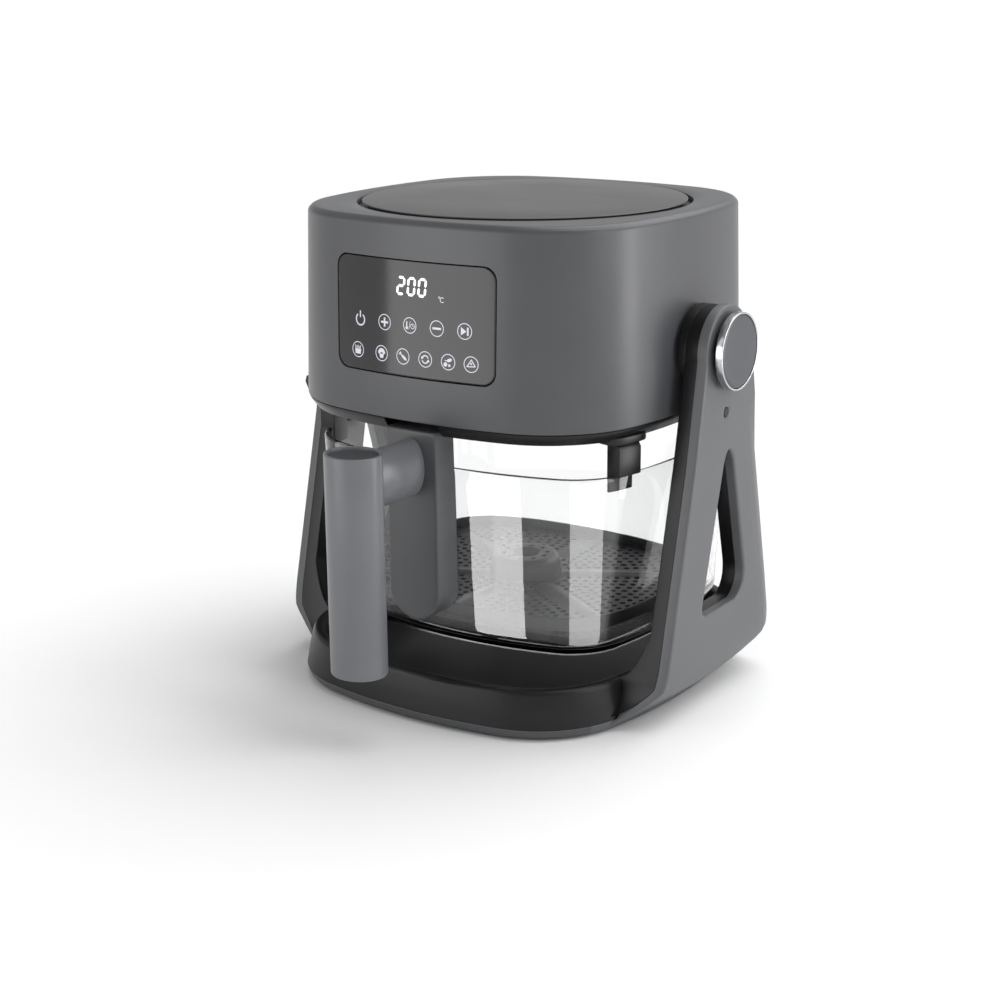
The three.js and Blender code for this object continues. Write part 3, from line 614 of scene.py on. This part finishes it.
def arm_cover(side):
    """The grey outer plate: flat above, drawn in at its foot, with a soft fall to its rear edge."""
    rear = np.array([(86, 6), (73, 69.5), (40.5, 208), (32, 236)], float)
    wide, deep, fade_top, fade = 15, 4.2, 205, 40

    def fall(uv):
        behind = np.full(len(uv), 1e9)
        for a, b in zip(rear, rear[1:]):
            t = np.clip(((uv - a) @ (b - a)) / ((b - a) @ (b - a)), 0, 1)
            behind = np.minimum(behind, np.hypot(*(uv - a - t[:, None] * (b - a)).T))
        into = np.clip((wide - behind) / wide, 0, 1)
        crease = 0.45 * np.exp(-(((behind - wide - 0.5) / 0.9) ** 2))
        strength = np.clip((fade_top - uv[:, 1]) / fade, 0, 1)
        return (deep * into**1.6 + crease) * strength

    def outer(uv, distance):
        reach = arm_reach(uv[:, 0], uv[:, 1]) - lip(distance, 1.6) - fall(uv)
        return np.column_stack([side * reach, uv])

    def inner(uv, distance):
        y, z = uv.T
        reach = arm_reach(y, z) - (ARM["outer"] - ARM["split"])
        tray = np.where(z < SKIRT_TOP + 0.2, side_x(BASE, y, TRAY_EDGE), side_x(BASE, y, GAP + 0.1))
        return np.column_stack([side * np.where(z < WINDOW_LOW, np.maximum(reach, tray), reach), uv])

    loops = [arm_side(ARM["hub"], -101, 86, 2.5), window_side(),
             ring_loop((0, PIVOT_Z), BUSH_HOLE, 48), ring_loop((0, PLUG_Z), PLUG_HOLE, 24)]
    geometry = plate(loops, outer, inner, 1.6, 3.2)
    obj = build(f"arm_cover_{side}", geometry)
    skirt = build("tool", block(BASE, [(g - 0.15, z) for g, z in SKIRT_PROFILE], True))
    cut(skirt, box(*sorted((0, side * FAR)), -SEAM_Y, SEAM_Y, -10, 20), "INTERSECT")
    shape = bmesh.new()
    shape.from_mesh(obj.data)
    shape.from_mesh(skirt.data)
    shape.to_mesh(obj.data)
    shape.free()
    bpy.data.objects.remove(skirt)
    return obj


def arm_liner(side):
    inset = ARM["outer"] - ARM["split"] + GAP

    def near(y, z):
        """The inner face, which sweeps in over the tray's edge at its foot."""
        rise = np.clip((z - TRAY["top"]) / LINER_SWEEP, 0, 1)
        edge = side_x(BASE, y, TRAY_EDGE)
        return edge + (ARM["inner"] - edge) * rise**0.6

    def outer(uv, distance):
        reach = np.minimum(arm_reach(uv[:, 0], uv[:, 1]) - inset, ARM["split"] - GAP)
        return np.column_stack([side * np.maximum(reach, near(*uv.T) + 0.5), uv])

    def inner(uv, distance):
        return np.column_stack([side * (near(*uv.T) + lip(distance, 0.8)), uv])

    loops = [arm_side(ARM["hub"] - 1, -97, 82, SKIRT_TOP + 2 * GAP), window_side(),
             ring_loop((0, PIVOT_Z), BUSH_HOLE, 48), ring_loop((0, PLUG_Z), PLUG_HOLE, 24)]
    reach = ARM["inner"] + 1
    hub = ARM["hub"] - 1
    profile = [(BUSH_HOLE, ARM["cheek"]), (hub, ARM["cheek"]), (hub, reach), (BUSH_HOLE, reach)]
    boss = on_pivot(lathe(soften(profile, 0.8, True), True), side)
    return joined(plate(loops, outer, inner, 0.8, 3.6), boss)


for word, side in (("left", -1), ("right", 1)):
    finish_piece(arm_cover(side), ARM_GREY_PAINTED_LIT, [f"{word}_arm_cover"], 38).name = f"{word}_arm_outer"
    piece(f"{word}_arm_inner", arm_liner(side), BLACK, [f"{word}_arm_liner"], smooth=38)
    from_cad(f"{word}_arm_plug", BLACK, 0.3)
    from_cad(f"{word}_pivot_bush", STEEL, 0.3)

for name, near in (("front_skirt", -1), ("rear_skirt", 1)):
    band = build(name + "_band", block(BASE, SKIRT_PROFILE, True))
    reach = sorted((near * (SEAM_Y + GAP), near * FAR))
    cut(band, box(-FAR, FAR, *reach, -10, 20), "INTERSECT")
    finish_piece(band, BODY_GREY, [name])

FOOT_PROFILE = [(0, 0), (7.6, 0), (9, 0.9), (9, 2.7), (0, 2.7)]
inset, floor, top = TRAY["inset"], TRAY["floor"], TRAY["top"]
tray_profile = soften([(-0.4, SKIRT_TOP + GAP), (-2.2, 20), (-4.4, top - 2), (TRAY_EDGE, top),
                       (-inset, top), (-inset, floor + 5), (-inset - 7, floor)], 2.2)
tray_profile = [(-30, SKIRT_TOP + GAP), *tray_profile]
piece("tray", block(BASE, tray_profile), BLACK, ["base_tray"])
from_cad("bottom_plate", BLACK, 0.3)
for index in range(1, 5):
    low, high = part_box(f"foot_{index}")
    x, y = (low.x + high.x) / 2 / MM, (low.y + high.y) / 2 / MM - ORIGIN_Y
    pad, sides = lathe(soften(FOOT_PROFILE, 0.5), segments=48)
    piece(f"rubber_foot_{index}", (pad + [x, y, 0], sides), RUBBER, [f"foot_{index}"])

# ---------- head ----------
HOLE_R, LID_R, TRUNNION_HOLE, GLAND_HOLE = 113, 109.8, 14.3, 8.3
SHOULDER, TOP_SKIN = 7, 3.5
RING_LOW, RING_HOLE, BRACKET_SLOT = 192.5, 108, 21.2
LID_LOW, LID_STEP, LID_TOP = 324.5, 328.2, 329.4


def head_shell():
    """Walls, rounded shoulders and a flat top that closes in to the round opening for the lid."""
    bottom, wall = HEAD_BOTTOM, HEAD_WALL
    outer = soften([(HEAD_FLARE - wall, bottom), (HEAD_FLARE, bottom), (0, HEAD_TOP - 3),
                    (-3, HEAD_TOP), (-SHOULDER, HEAD_TOP)], 1.6, steps=5)
    outline = squarish(HEAD)
    round_ = outline / np.hypot(*outline.T)[:, None]
    rings = [level(squarish(HEAD, grow), z) for grow, z in outer]
    for share in (0.5, 1.0):
        edge = squarish(HEAD, -SHOULDER) * (1 - share) + round_ * (HOLE_R + 1) * share
        rings.append(level(edge, HEAD_TOP))
    for radius, drop in ((HOLE_R + 0.3, 0.3), (HOLE_R, 1), (HOLE_R, TOP_SKIN)):
        rings.append(level(round_ * radius, HEAD_TOP - drop))
    rings.append(level(squarish(HEAD, -wall - 1), HEAD_TOP - TOP_SKIN))
    rings.append(level(squarish(HEAD, -wall), HEAD_TOP - 5))
    return loft(rings, True)


def rounded_panel(grow=0.0):
    r, low, high = PANEL["corner"], PANEL["low"] - grow, PANEL["high"] + grow
    right, quarter = PANEL["half_x"] + grow, math.pi / 2
    points = []
    for x, z, start in ((right - r, low + r, -quarter), (right - r, high - r, 0),
                        (r - right, high - r, quarter), (r - right, low + r, 2 * quarter)):
        points += arc((x, z), r, start, start + quarter, 10)
    return np.array(points)


def face_y(x, z, inset):
    """The head's front face at (x, z), set back by inset."""
    grow = HEAD_FLARE * (HEAD_TOP - z) / (HEAD_TOP - HEAD_BOTTOM) - inset
    return np.array([front_y(HEAD, a, g) for a, g in zip(x, grow)])


def display_panel():
    def placed(inset, radius):
        def face(uv, distance):
            y = face_y(uv[:, 0], uv[:, 1], inset) + lip(distance, radius)
            return np.column_stack([uv[:, 0], y, uv[:, 1]])
        return face
    outline = resample(rounded_panel(-0.35), 6)
    return plate([outline], placed(0.25, 0.5), placed(HEAD_WALL - 0.1, 0.001), 0.5, 6)


shell = build("head_cover", head_shell())
window = level(rounded_panel(GAP), 0)[:, [0, 2, 1]]
cut(shell, loft([window + [0, -150, 0], window + [0, -100, 0]]))
cut(shell, on_pivot(lathe([(TRUNNION_HOLE, -150), (TRUNNION_HOLE, 150)], segments=48), 1))
gland_low, gland_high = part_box("cord_gland")
gland_z = (gland_low.z + gland_high.z) / 2 / MM
bore, bore_sides = lathe([(GLAND_HOLE, 110), (GLAND_HOLE, 150)], segments=40)
cut(shell, (bore[:, [0, 2, 1]] + [0, 0, gland_z], bore_sides))
finish_piece(shell, BODY_GREY, ["head_shell"], 30)
piece("panel", display_panel(), PANEL_BLACK, ["display_panel"])

ring_top = HEAD_BOTTOM - GAP
ring_profile = soften([(-1.3, RING_LOW), (2.5, 198), (3.3, ring_top)], 1.0)
rings = [level(squarish(HEAD, grow), z) for grow, z in ring_profile]
outline = squarish(HEAD)
round_ = outline / np.hypot(*outline.T)[:, None] * RING_HOLE
lower_ring = build("lower_ring", loft([*rings, level(round_, ring_top), level(round_, RING_LOW)], True))
cut(lower_ring, box(-BRACKET_SLOT, BRACKET_SLOT, -150, -112, 180, 210))
for word in ("left", "right"):
    from_cad(f"{word}_bowl_latch", BLACK, 0.6)
finish_piece(lower_ring, BLACK, ["head_ring"], bevel=0.35)

lid = [(0, LID_LOW), (LID_R - 4, LID_LOW), (LID_R - 4, LID_STEP), (LID_R, LID_STEP + 0.1),
       (LID_R - 0.6, LID_TOP - 0.5), (70, LID_TOP - 0.15), (0, LID_TOP)]
piece("lid", lathe(soften(lid, 0.6), segments=160), LID_BROWN, ["top_lid"])
collar = soften([(100, 319.5), (118, 319.5), (118, 324.2), (100, 324.2)], 0.6, True)
piece("collar", lathe(collar, True, 128), BLACK, ["lid_collar"])

for word, side in (("left", -1), ("right", 1)):
    neck = CAP_FACE - 7 + GAP
    cap = [(0, neck), (20, neck), (20, neck + 1.6), (CAP_R - 1.7, neck + 1.6),
           (CAP_R - 1.7, CAP_FACE - 0.5), (CAP_R - 2.6, CAP_FACE - 0.5),
           (CAP_R - 3.2, CAP_FACE - 0.1), (8, CAP_FACE), (0, CAP_FACE)]
    piece(f"{word}_cap", on_pivot(lathe(soften(cap, 0.35), segments=128), side), CAP_METAL,
          [f"{word}_pivot_cap"])
    rim = [(CAP_R - 1.3, neck + 1.6), (CAP_R, neck + 1.6), (CAP_R, CAP_FACE), (CAP_R - 1.3, CAP_FACE)]
    piece(f"{word}_cap_rim", on_pivot(lathe(soften(rim, 0.5, True), True, 128), side), CHROME,
          [f"{word}_pivot_cap_ring"])
    from_cad(f"{word}_trunnion", STEEL, 0.4)

for node, material, bevel in (
        ("heat_shield", STEEL, 0.2), ("heating_element", STEEL, 0), ("element_guard", STEEL, 0.2),
        ("motor", STEEL, 0.6), ("motor_shaft", STEEL, 0.3), ("motor_bridge", STEEL, 0.3),
        ("hot_air_fan", STEEL, 0.15), ("cooling_fan", BLACK, 0.2), ("temperature_sensor", STEEL, 0.2),
        ("control_board", BOARD, 0.2), ("power_board", BOARD, 0.2), ("cord_gland", RUBBER, 0.5)):
    from_cad(node, material, bevel)

# ---------- bowl ----------
CORNER_R = 13


def wall_grow(z):
    return -RIM_TO_WALL * (BOWL_RIM - z) / (BOWL_RIM - WALL_START)


def bowl_profile(inset, low):
    """From the middle of the bottom round its corner and up to just under the rim."""
    rise = WALL_START - 1 - BOWL_BOTTOM
    return [(wall_grow(low) - inset - CORNER_R * (1 - math.sin(a)), low + rise * (1 - math.cos(a)))
            for a in np.linspace(0, math.pi / 2, 9)]


def glass_bowl():
    rim, inside = BOWL_RIM, BOWL_BOTTOM + GLASS + 0.4
    outer = [*bowl_profile(0, BOWL_BOTTOM), (wall_grow(100), 100), (wall_grow(140), 140)]
    inner = [*bowl_profile(GLASS, inside), (wall_grow(100) - GLASS, 100), (wall_grow(140) - GLASS, 140)]
    lips = [(0, rim - 1.2), (-0.35, rim - 0.35), (-1.2, rim), (-GLASS + 1.2, rim),
            (-GLASS + 0.35, rim - 0.35), (-GLASS, rim - 1.2)]
    return block(BOWL, [(-60, BOWL_BOTTOM), *outer, *lips, *inner[::-1], (-60, inside)])


def tongue(half_x, low, high, steps=20):
    points = arc((0, low + half_x), half_x, math.pi, 2 * math.pi, steps)
    return np.array([(half_x, high), (-half_x, high), *points])


def bowl_front(x, z, grow):
    """The outside of the bowl's front wall, or grown out from it."""
    return np.array([front_y(BOWL, a, wall_grow(b) + grow) for a, b in zip(x, z)])


def between(front, back):
    def placed(depth):
        def face(uv, distance):
            return np.column_stack([uv[:, 0], depth(uv, distance), uv[:, 1]])
        return face
    return placed(front), placed(back)


bowl_glass = build("glass_form", glass_bowl())
finish_piece(bowl_glass, CLEAR, ["glass_bowl"], 50)

outline = resample(tongue(BRACKET["half_x"], BRACKET["low"], BRACKET["high"]), 4)
faces = between(lambda uv, d: BRACKET["front"] + lip(d, 1.4), lambda uv, d: bowl_front(*uv.T, GAP))
piece("handle_plate", plate([outline], *faces, 1.4, 5), BRACKET_GREY, ["handle_bracket"])
outline = resample(tongue(BRACKET["half_x"] - 4, BRACKET["low"] + 8, BOWL_RIM - 4), 4)
faces = between(lambda uv, d: bowl_front(*uv.T, -GLASS - GAP),
                lambda uv, d: bowl_front(*uv.T, -GLASS - GAP - 3) - lip(d, 0.8))
piece("inner_clamp", plate([outline], *faces, 0.8, 5), BLACK, ["handle_clamp"])


def oval(half_x, half_y, count=96):
    turn = np.linspace(0, 2 * math.pi, count, endpoint=False)
    return np.column_stack([half_x * np.cos(turn), half_y * np.sin(turn)])


def grip_body():
    low, high = GRIP["low"], GRIP["high"]
    profile = soften([(3, low), (0, low), (0, high), (2.2, high), (2.5, high - 4)], 1.3, steps=5)
    rings = [level(oval(GRIP["half_x"] - inset, GRIP["half_y"] - inset) + [0, GRIP["y"]], z)
             for inset, z in profile]
    return loft(rings)


for name, node, reach in (("grip_outer", "grip_front", (-FAR, GRIP["split"] - GAP)),
                          ("grip_inner", "grip_back", (GRIP["split"], 0))):
    half = cut(build(name, grip_body()), box(-60, 60, *reach, 0, 300), "INTERSECT")
    finish_piece(half, GRIP_GREY, [node], 40)
seat = GRIP["high"] - 2.5
cap_profile = soften([(2.9, seat - 1.2), (2.9, seat + 0.6), (6, seat + 0.6)], 0.5)
piece("grip_top", loft([level(oval(GRIP["half_x"] - i, GRIP["half_y"] - i) + [0, GRIP["y"]], z)
                        for i, z in cap_profile]), CAP_GREY, ["grip_cap"])


def handle_neck():
    """An oval tube whose outer end follows the back of the grip."""
    middle, half_z = (NECK["low"] + NECK["high"]) / 2, (NECK["high"] - NECK["low"]) / 2
    rings = []
    for share, shrink in ((0, 1), (0, 0.3), (0.02, 0), (0.5, 0), (0.97, 0), (0.992, -0.3), (1, -0.3)):
        ring = oval(NECK["half_x"] - shrink, half_z - shrink)
        reach = GRIP["y"] + (GRIP["half_y"] + GAP) * np.sqrt(1 - (ring[:, 0] / (GRIP["half_x"] + GAP)) ** 2)
        y = reach + (BRACKET["front"] - GAP - reach) * share
        rings.append(np.column_stack([ring[:, 0], y, middle + ring[:, 1]]))
    return loft(rings)


piece("neck", handle_neck(), GRIP_GREY, ["handle_neck"])
for word in ("upper", "lower"):
    from_cad(f"{word}_handle_bolt", STEEL, 0.4)
for word in ("left", "right"):
    from_cad(f"{word}_bowl_lug", BLACK, 1.2)

# ---------- crisper plate ----------
PERFORATION_R, HOLE_PITCH, RIB_HALF, HUB_R = 2.2, 7.4, 5.0, 26
FIRST_ROW, LAST_ROW, ROW_PITCH, PLAIN_EDGE = 33, 120, 6.6, 8
RIB_ANGLE, RIB_TURN, RIB_END = math.pi / 3, math.radians(30), 104


def perforations(outline):
    """Rows of round holes in arcs about the middle, leaving six plain ribs and a plain edge."""
    holes = []
    for row, radius in enumerate(np.arange(FIRST_ROW, LAST_ROW, ROW_PITCH)):
        count = round(2 * math.pi * radius / HOLE_PITCH)
        for k in range(count):
            turn = 2 * math.pi * (k + (row % 2) / 2) / count
            rib = (turn - RIB_TURN) % RIB_ANGLE
            aside = radius * abs(math.sin(min(rib, RIB_ANGLE - rib)))
            if aside > RIB_HALF + PERFORATION_R:
                holes.append((radius * math.cos(turn), radius * math.sin(turn)))
    holes = np.array(holes)
    inside, distance = boundary(holes, [outline])
    return [ring_loop(h, PERFORATION_R, 10) for h in holes[inside & (distance > PLAIN_EDGE)]]


def crisper_plate():
    outline = resample(squarish(BOWL, -PLATE_INSET), 8)

    def rise(uv):
        radius, turn = np.hypot(*uv.T), np.arctan2(uv[:, 1], uv[:, 0])
        rib = (turn - RIB_TURN) % RIB_ANGLE
        aside = radius * np.abs(np.sin(np.minimum(rib, RIB_ANGLE - rib)))
        ridge = 1.4 * np.clip((RIB_HALF - aside) / 2, 0, 1) * np.clip((RIB_END - radius) / 6, 0, 1)
        return np.where(radius > HUB_R, ridge, 0)

    def top(uv, distance):
        return np.column_stack([uv, PLATE_Z + PLATE_SHEET + rise(uv)])

    def under(uv, distance):
        return np.column_stack([uv, PLATE_Z + rise(uv)])

    sheet = plate([outline, *perforations(outline), ring_loop((0, 0), 12, 40)], top, under, 0, 5)
    outside, inside, rim = -PLATE_INSET, -PLATE_INSET - PLATE_SHEET, PLATE_Z + PLATE_RIM
    wall = [(outside, PLATE_Z), (outside, rim), (inside, rim), (inside, PLATE_Z)]
    return joined(sheet, block(BOWL, soften(wall, 0.6, True), True))


def crisper_hub():
    """The raised grip in the middle, with a ring of holes through its top."""
    profile = soften([(6, 1.8), (26, 1.8), (24, 14), (21, 17), (10, 17), (8, 8), (6, 8)], 1.4, True)
    hub = build("hub", lathe([(r, PLATE_Z + z) for r, z in profile], True))
    for k in range(10):
        turn = 2 * math.pi * k / 10
        pin, sides = lathe([(1.9, PLATE_Z + 15), (1.9, PLATE_Z + 19)], segments=16)
        cut(hub, (pin + [15.5 * math.cos(turn), 15.5 * math.sin(turn), 0], sides))
    return hub


piece("perforated_plate", crisper_plate(), COATED, ["crisper_plate"], smooth=30)
finish_piece(crisper_hub(), COATED, ["crisper_hub"])
for index in range(1, 5):
    from_cad(f"crisper_foot_{index}", RUBBER, 1.0)

# ---------- marks on the panel ----------


def stroke(points, width, closed=False):
    """A flat line of the given width, as polygons in (x, z)."""
    points = [np.array(p, float) for p in points]
    quads, count = [], len(points) - (not closed)
    for k in range(count):
        a, b = points[k], points[(k + 1) % len(points)]
        along = (b - a) / np.linalg.norm(b - a)
        side = np.array([-along[1], along[0]]) * width / 2
        a, b = a - along * width * 0.2, b + along * width * 0.2
        quads.append([a - side, b - side, b + side, a + side])
    return quads


def circle(centre, radius, width, start=0.0, end=2 * math.pi, steps=36):
    outer = arc(centre, radius + width / 2, start, end, steps)
    inner = arc(centre, radius - width / 2, start, end, steps)
    return [[outer[i], outer[i + 1], inner[i + 1], inner[i]] for i in range(steps)]


def dot(centre, radius):
    return [arc(centre, radius, 0, 2 * math.pi, 16)[:-1]]


def moved(polygons, x, z):
    return [[(p[0] + x, p[1] + z) for p in polygon] for polygon in polygons]


def digit(value):
    """A seven-segment numeral, leaning a little."""
    w, h, t = 4.9, 10.4, 1.7
    lines = {"a": ((0, h), (w, h)), "b": ((w, h), (w, h / 2)), "c": ((w, h / 2), (w, 0)),
             "d": ((0, 0), (w, 0)), "e": ((0, 0), (0, h / 2)), "f": ((0, h / 2), (0, h)),
             "g": ((0, h / 2), (w, h / 2))}
    lit = {0: "abcdef", 2: "abged"}[value]
    polygons = []
    for name in lit:
        a, b = (np.array(p, float) for p in lines[name])
        along = (b - a) / np.linalg.norm(b - a)
        side = np.array([-along[1], along[0]]) * t / 2
        a, b = a + along * 0.25, b - along * 0.25
        tip = along * t / 2
        polygons.append([a, a + tip - side, b - tip - side, b, b - tip + side, a + tip + side])
    return [[(p[0] + p[1] * 0.1 - w / 2, p[1] - h / 2) for p in polygon] for polygon in polygons]


RING = circle((0, 0), 4.9, 0.55)
POWER = circle((0, -0.5), 3.7, 1.0, math.radians(125), math.radians(415)) + stroke([(0, 1), (0, 4.9)], 1.0)
PLUS = RING + stroke([(-2.7, 0), (2.7, 0)], 1.35) + stroke([(0, -2.7), (0, 2.7)], 1.35)
MINUS = RING + stroke([(-2.9, 0), (2.9, 0)], 1.35)
PLAY = RING + [[(-2.6, -2.6), (1.2, 0), (-2.6, 2.6)]] + stroke([(2.2, -2.3), (2.2, 2.3)], 1.2)
CLOCK = (RING + stroke([(-2.3, -0.6), (-2.3, 2.3)], 0.9) + dot((-2.3, -1.6), 1.05)
         + stroke([(-0.7, -2.4), (0.5, 2.6)], 0.4) + circle((2.2, -0.4), 1.5, 0.45, steps=20)
         + stroke([(2.2, 0.5), (2.2, -0.4), (2.9, -0.4)], 0.35))
STICKS = [[(-2 + k, 0.7), (-2.2 + k * 1.1, 2.7 - (k % 2) * 0.6)] for k in range(5)]
FRIES = (RING + [[(-2.3, -2.8), (2.3, -2.8), (2.8, 0.4), (-2.8, 0.4)]]
         + [q for stick in STICKS for q in stroke(stick, 0.6)])
CAKE = (RING + [[*arc((0, 0.6), 2.7, 0, math.pi, 14)]] + dot((-1.9, 0.7), 1.1) + dot((1.9, 0.7), 1.1)
        + [[(-1.9, -0.3), (-1.3, -3), (1.3, -3), (1.9, -0.3)]])
LEG = (RING + [[(0.9 + 2.0 * math.cos(a) - 0.6 * math.sin(a), -0.7 + 1.5 * math.sin(a) - 0.9 * math.cos(a))
                for a in np.linspace(0, 2 * math.pi, 18, endpoint=False)]]
       + stroke([(-0.4, 0.4), (-2.2, 1.9)], 0.8) + dot((-2.6, 1.6), 0.6) + dot((-1.9, 2.4), 0.6))
TURN = (RING + circle((0, 0), 2.4, 0.8, math.radians(20), math.radians(150), 14)
        + circle((0, 0), 2.4, 0.8, math.radians(200), math.radians(330), 14)
        + [[(-3.3, 1.6), (-1.0, 1.3), (-2.6, -0.4)], [(3.3, -1.6), (1.0, -1.3), (2.6, 0.4)]])
FISH = (RING + [[(1.9 * math.cos(a) + 0.9, 1.1 * math.sin(a) + 1.2 + 0.5 * math.cos(a))
                 for a in np.linspace(0, 2 * math.pi, 16, endpoint=False)]]
        + dot((-1.9, -1.6), 1.4) + dot((0.9, -2.1), 0.9) + stroke([(-0.8, 0.8), (-2.3, 0.9)], 0.6))
SLICE = RING + stroke([(-2.9, -1.5), (0.2, 2.9), (2.9, -1.2)], 0.7, True) + dot((0.1, 0.4), 0.7)
DIGIT_Z, TOP_ROW_Z, LOW_ROW_Z, DEGREE_AT = 286.8, 262.3, 242, (24, 280.6)
TOP_ROW = [(-41.4, POWER), (-20.4, PLUS), (0, CLOCK), (20.6, MINUS), (40.6, PLAY)]
LOW_ROW = [(-43.8, FRIES), (-23.1, CAKE), (-5.5, LEG), (11.9, TURN), (28.9, FISH), (45.2, SLICE)]
DEGREE = circle((-1.5, 1.2), 0.55, 0.4, steps=12) + circle(
    (0.6, -0.2), 1.5, 0.5, math.radians(45), math.radians(315), 16)


def on_panel(polygons):
    """Polygons in (x, z) laid just in front of the panel's face."""
    points, faces = [], []
    for polygon in polygons:
        xz = np.array(polygon, float)
        faces.append(tuple(range(len(points), len(points) + len(xz))))
        y = face_y(xz[:, 0], xz[:, 1], 0.17)
        points += list(np.column_stack([xz[:, 0], y, xz[:, 1]]))
    return np.array(points), faces


def mark(name, polygons, material):
    points, faces = on_panel(polygons)
    mesh = bpy.data.meshes.new(name)
    mesh.from_pydata((points + [0, ORIGIN_Y, 0]) * MM, [], faces)
    mesh.materials.append(material)
    obj = bpy.data.objects.new(name, mesh)
    bpy.context.scene.collection.objects.link(obj)
    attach(obj, "head")


mark("lit_digits", [q for x, v in ((-7.4, 2), (0.8, 0), (9.1, 0)) for q in moved(digit(v), x, DIGIT_Z)],
     DIGIT_GLOW)
icons = [q for x, icon in TOP_ROW for q in moved(icon, x, TOP_ROW_Z)]
icons += [q for x, icon in LOW_ROW for q in moved(icon, x, LOW_ROW_Z)]
mark("lit_icons", icons + moved(DEGREE, *DEGREE_AT), ICON_GLOW)

# ---------- floor, light and camera ----------


def stage_sheet(name, half, material):
    mesh = bpy.data.meshes.new(name)
    mesh.from_pydata([(-half, -half, 0), (half, -half, 0), (half, half, 0), (-half, half, 0)],
                     [], [(0, 1, 2, 3)])
    mesh.materials.append(material)
    obj = bpy.data.objects.new(name, mesh)
    bpy.context.scene.collection.objects.link(obj)


def floor_material():
    material, nodes, links, shader = new_material("pale_floor", "body_grey")
    cloud = noise(nodes, links, 3, 2)
    links.new(tinted(nodes, links, cloud, (0.98, 0.98, 0.98, 1), (0.99, 0.99, 0.99, 1)),
              shader.inputs["Base Color"])
    shader.inputs["Roughness"].default_value = 0.9
    shader.inputs["Specular IOR Level"].default_value = 0.1
    return material


stage_sheet("floor", 60.0, floor_material())


def lamp_at(name, kind, place, aim, energy):
    data = bpy.data.lights.new(name, kind)
    data.energy = energy
    lamp = bpy.data.objects.new(name, data)
    lamp.location = place
    lamp.rotation_euler = (Vector(aim) - Vector(place)).to_track_quat("-Z", "Y").to_euler()
    bpy.context.scene.collection.objects.link(lamp)
    return lamp


def softbox(name, place, aim, size, power):
    lamp = lamp_at(name, "AREA", place, aim, power)
    lamp.data.shape, lamp.data.size, lamp.data.size_y = "RECTANGLE", *size
    return lamp


def gleam(name, place, aim, size, radiance, only=None):
    """A light panel that shows only in glossy reflections, and only on one object if that is given."""
    lamp = softbox(name, place, aim, size, radiance * math.pi * size[0] * size[1])
    lamp.visible_camera = lamp.visible_diffuse = lamp.visible_transmission = False
    if only:
        lit = bpy.data.collections.new(name)
        lit.objects.link(only)
        lamp.light_linking.receiver_collection = lit


MIDDLE = (0, 0, 0.17)
softbox("key", (-0.9, -1.3, 1.0), MIDDLE, (0.9, 1.1), 2)
softbox("side", (1.6, -0.1, 0.8), MIDDLE, (0.5, 1.2), 5)
gleam("front_gleam", (-0.4, -0.88, 0.28), (0, -0.1, 0.25), (0.55, 0.6), 2.2)
gleam("side_gleam", (0.9, 0.37, 0.25), (0.1, -0.05, 0.25), (0.3, 0.6), 6)
gleam("glass_gleam", (0.032, -0.132, 0.086), (0.032, 0, 0.086), (0.052, 0.168), 10, bowl_glass)
gleam("glass_corner_gleam", (0.141, -0.084, 0.086), (0.065, -0.019, 0.086), (0.07, 0.168), 7, bowl_glass)
sun = lamp_at("sun", "SUN", (0.35, 0.8, 1.3), (0, 0, 0), 2.4)
sun.data.angle = math.radians(70)

world = bpy.data.worlds.new("studio")
world.use_nodes = True
sky = world.node_tree.nodes["Background"]
wires = world.node_tree.links
direction = world.node_tree.nodes.new("ShaderNodeTexCoord")
parts = world.node_tree.nodes.new("ShaderNodeSeparateXYZ")
rise = world.node_tree.nodes.new("ShaderNodeMapRange")   # white at the horizon, dimmer overhead
for socket, value in (("From Min", 0.03), ("From Max", 0.3), ("To Min", 1.0), ("To Max", 0.38)):
    rise.inputs[socket].default_value = value
wires.new(direction.outputs["Generated"], parts.inputs["Vector"])
wires.new(parts.outputs["Z"], rise.inputs["Value"])
wires.new(rise.outputs["Result"], sky.inputs["Strength"])
sky.inputs["Color"].default_value = (1, 1, 1, 1)
bpy.context.scene.world = world
bpy.context.scene.view_settings.view_transform = "Standard"

CAMERA_PLACE = Vector((0.6793, -0.9901, 0.4764))
AIM, TILT, ROLL, LENS = math.radians(34.5), math.radians(16.36), -0.0074, 65.1
ahead = Vector((-math.sin(AIM) * math.cos(TILT), math.cos(AIM) * math.cos(TILT), -math.sin(TILT)))
level_right = Vector((math.cos(AIM), math.sin(AIM), 0))
upward = level_right.cross(ahead)
right = level_right * math.cos(ROLL) + upward * math.sin(ROLL)
up = right.cross(ahead)
camera_data = bpy.data.cameras.new("camera")
camera_data.lens, camera_data.sensor_width = LENS, 36
camera_data.clip_start, camera_data.clip_end = 0.01, 200
camera = bpy.data.objects.new("camera", camera_data)
camera.matrix_world = Matrix.Translation(CAMERA_PLACE) @ Matrix((right, up, -ahead)).transposed().to_4x4()
bpy.context.scene.collection.objects.link(camera)
bpy.context.scene.camera = camera
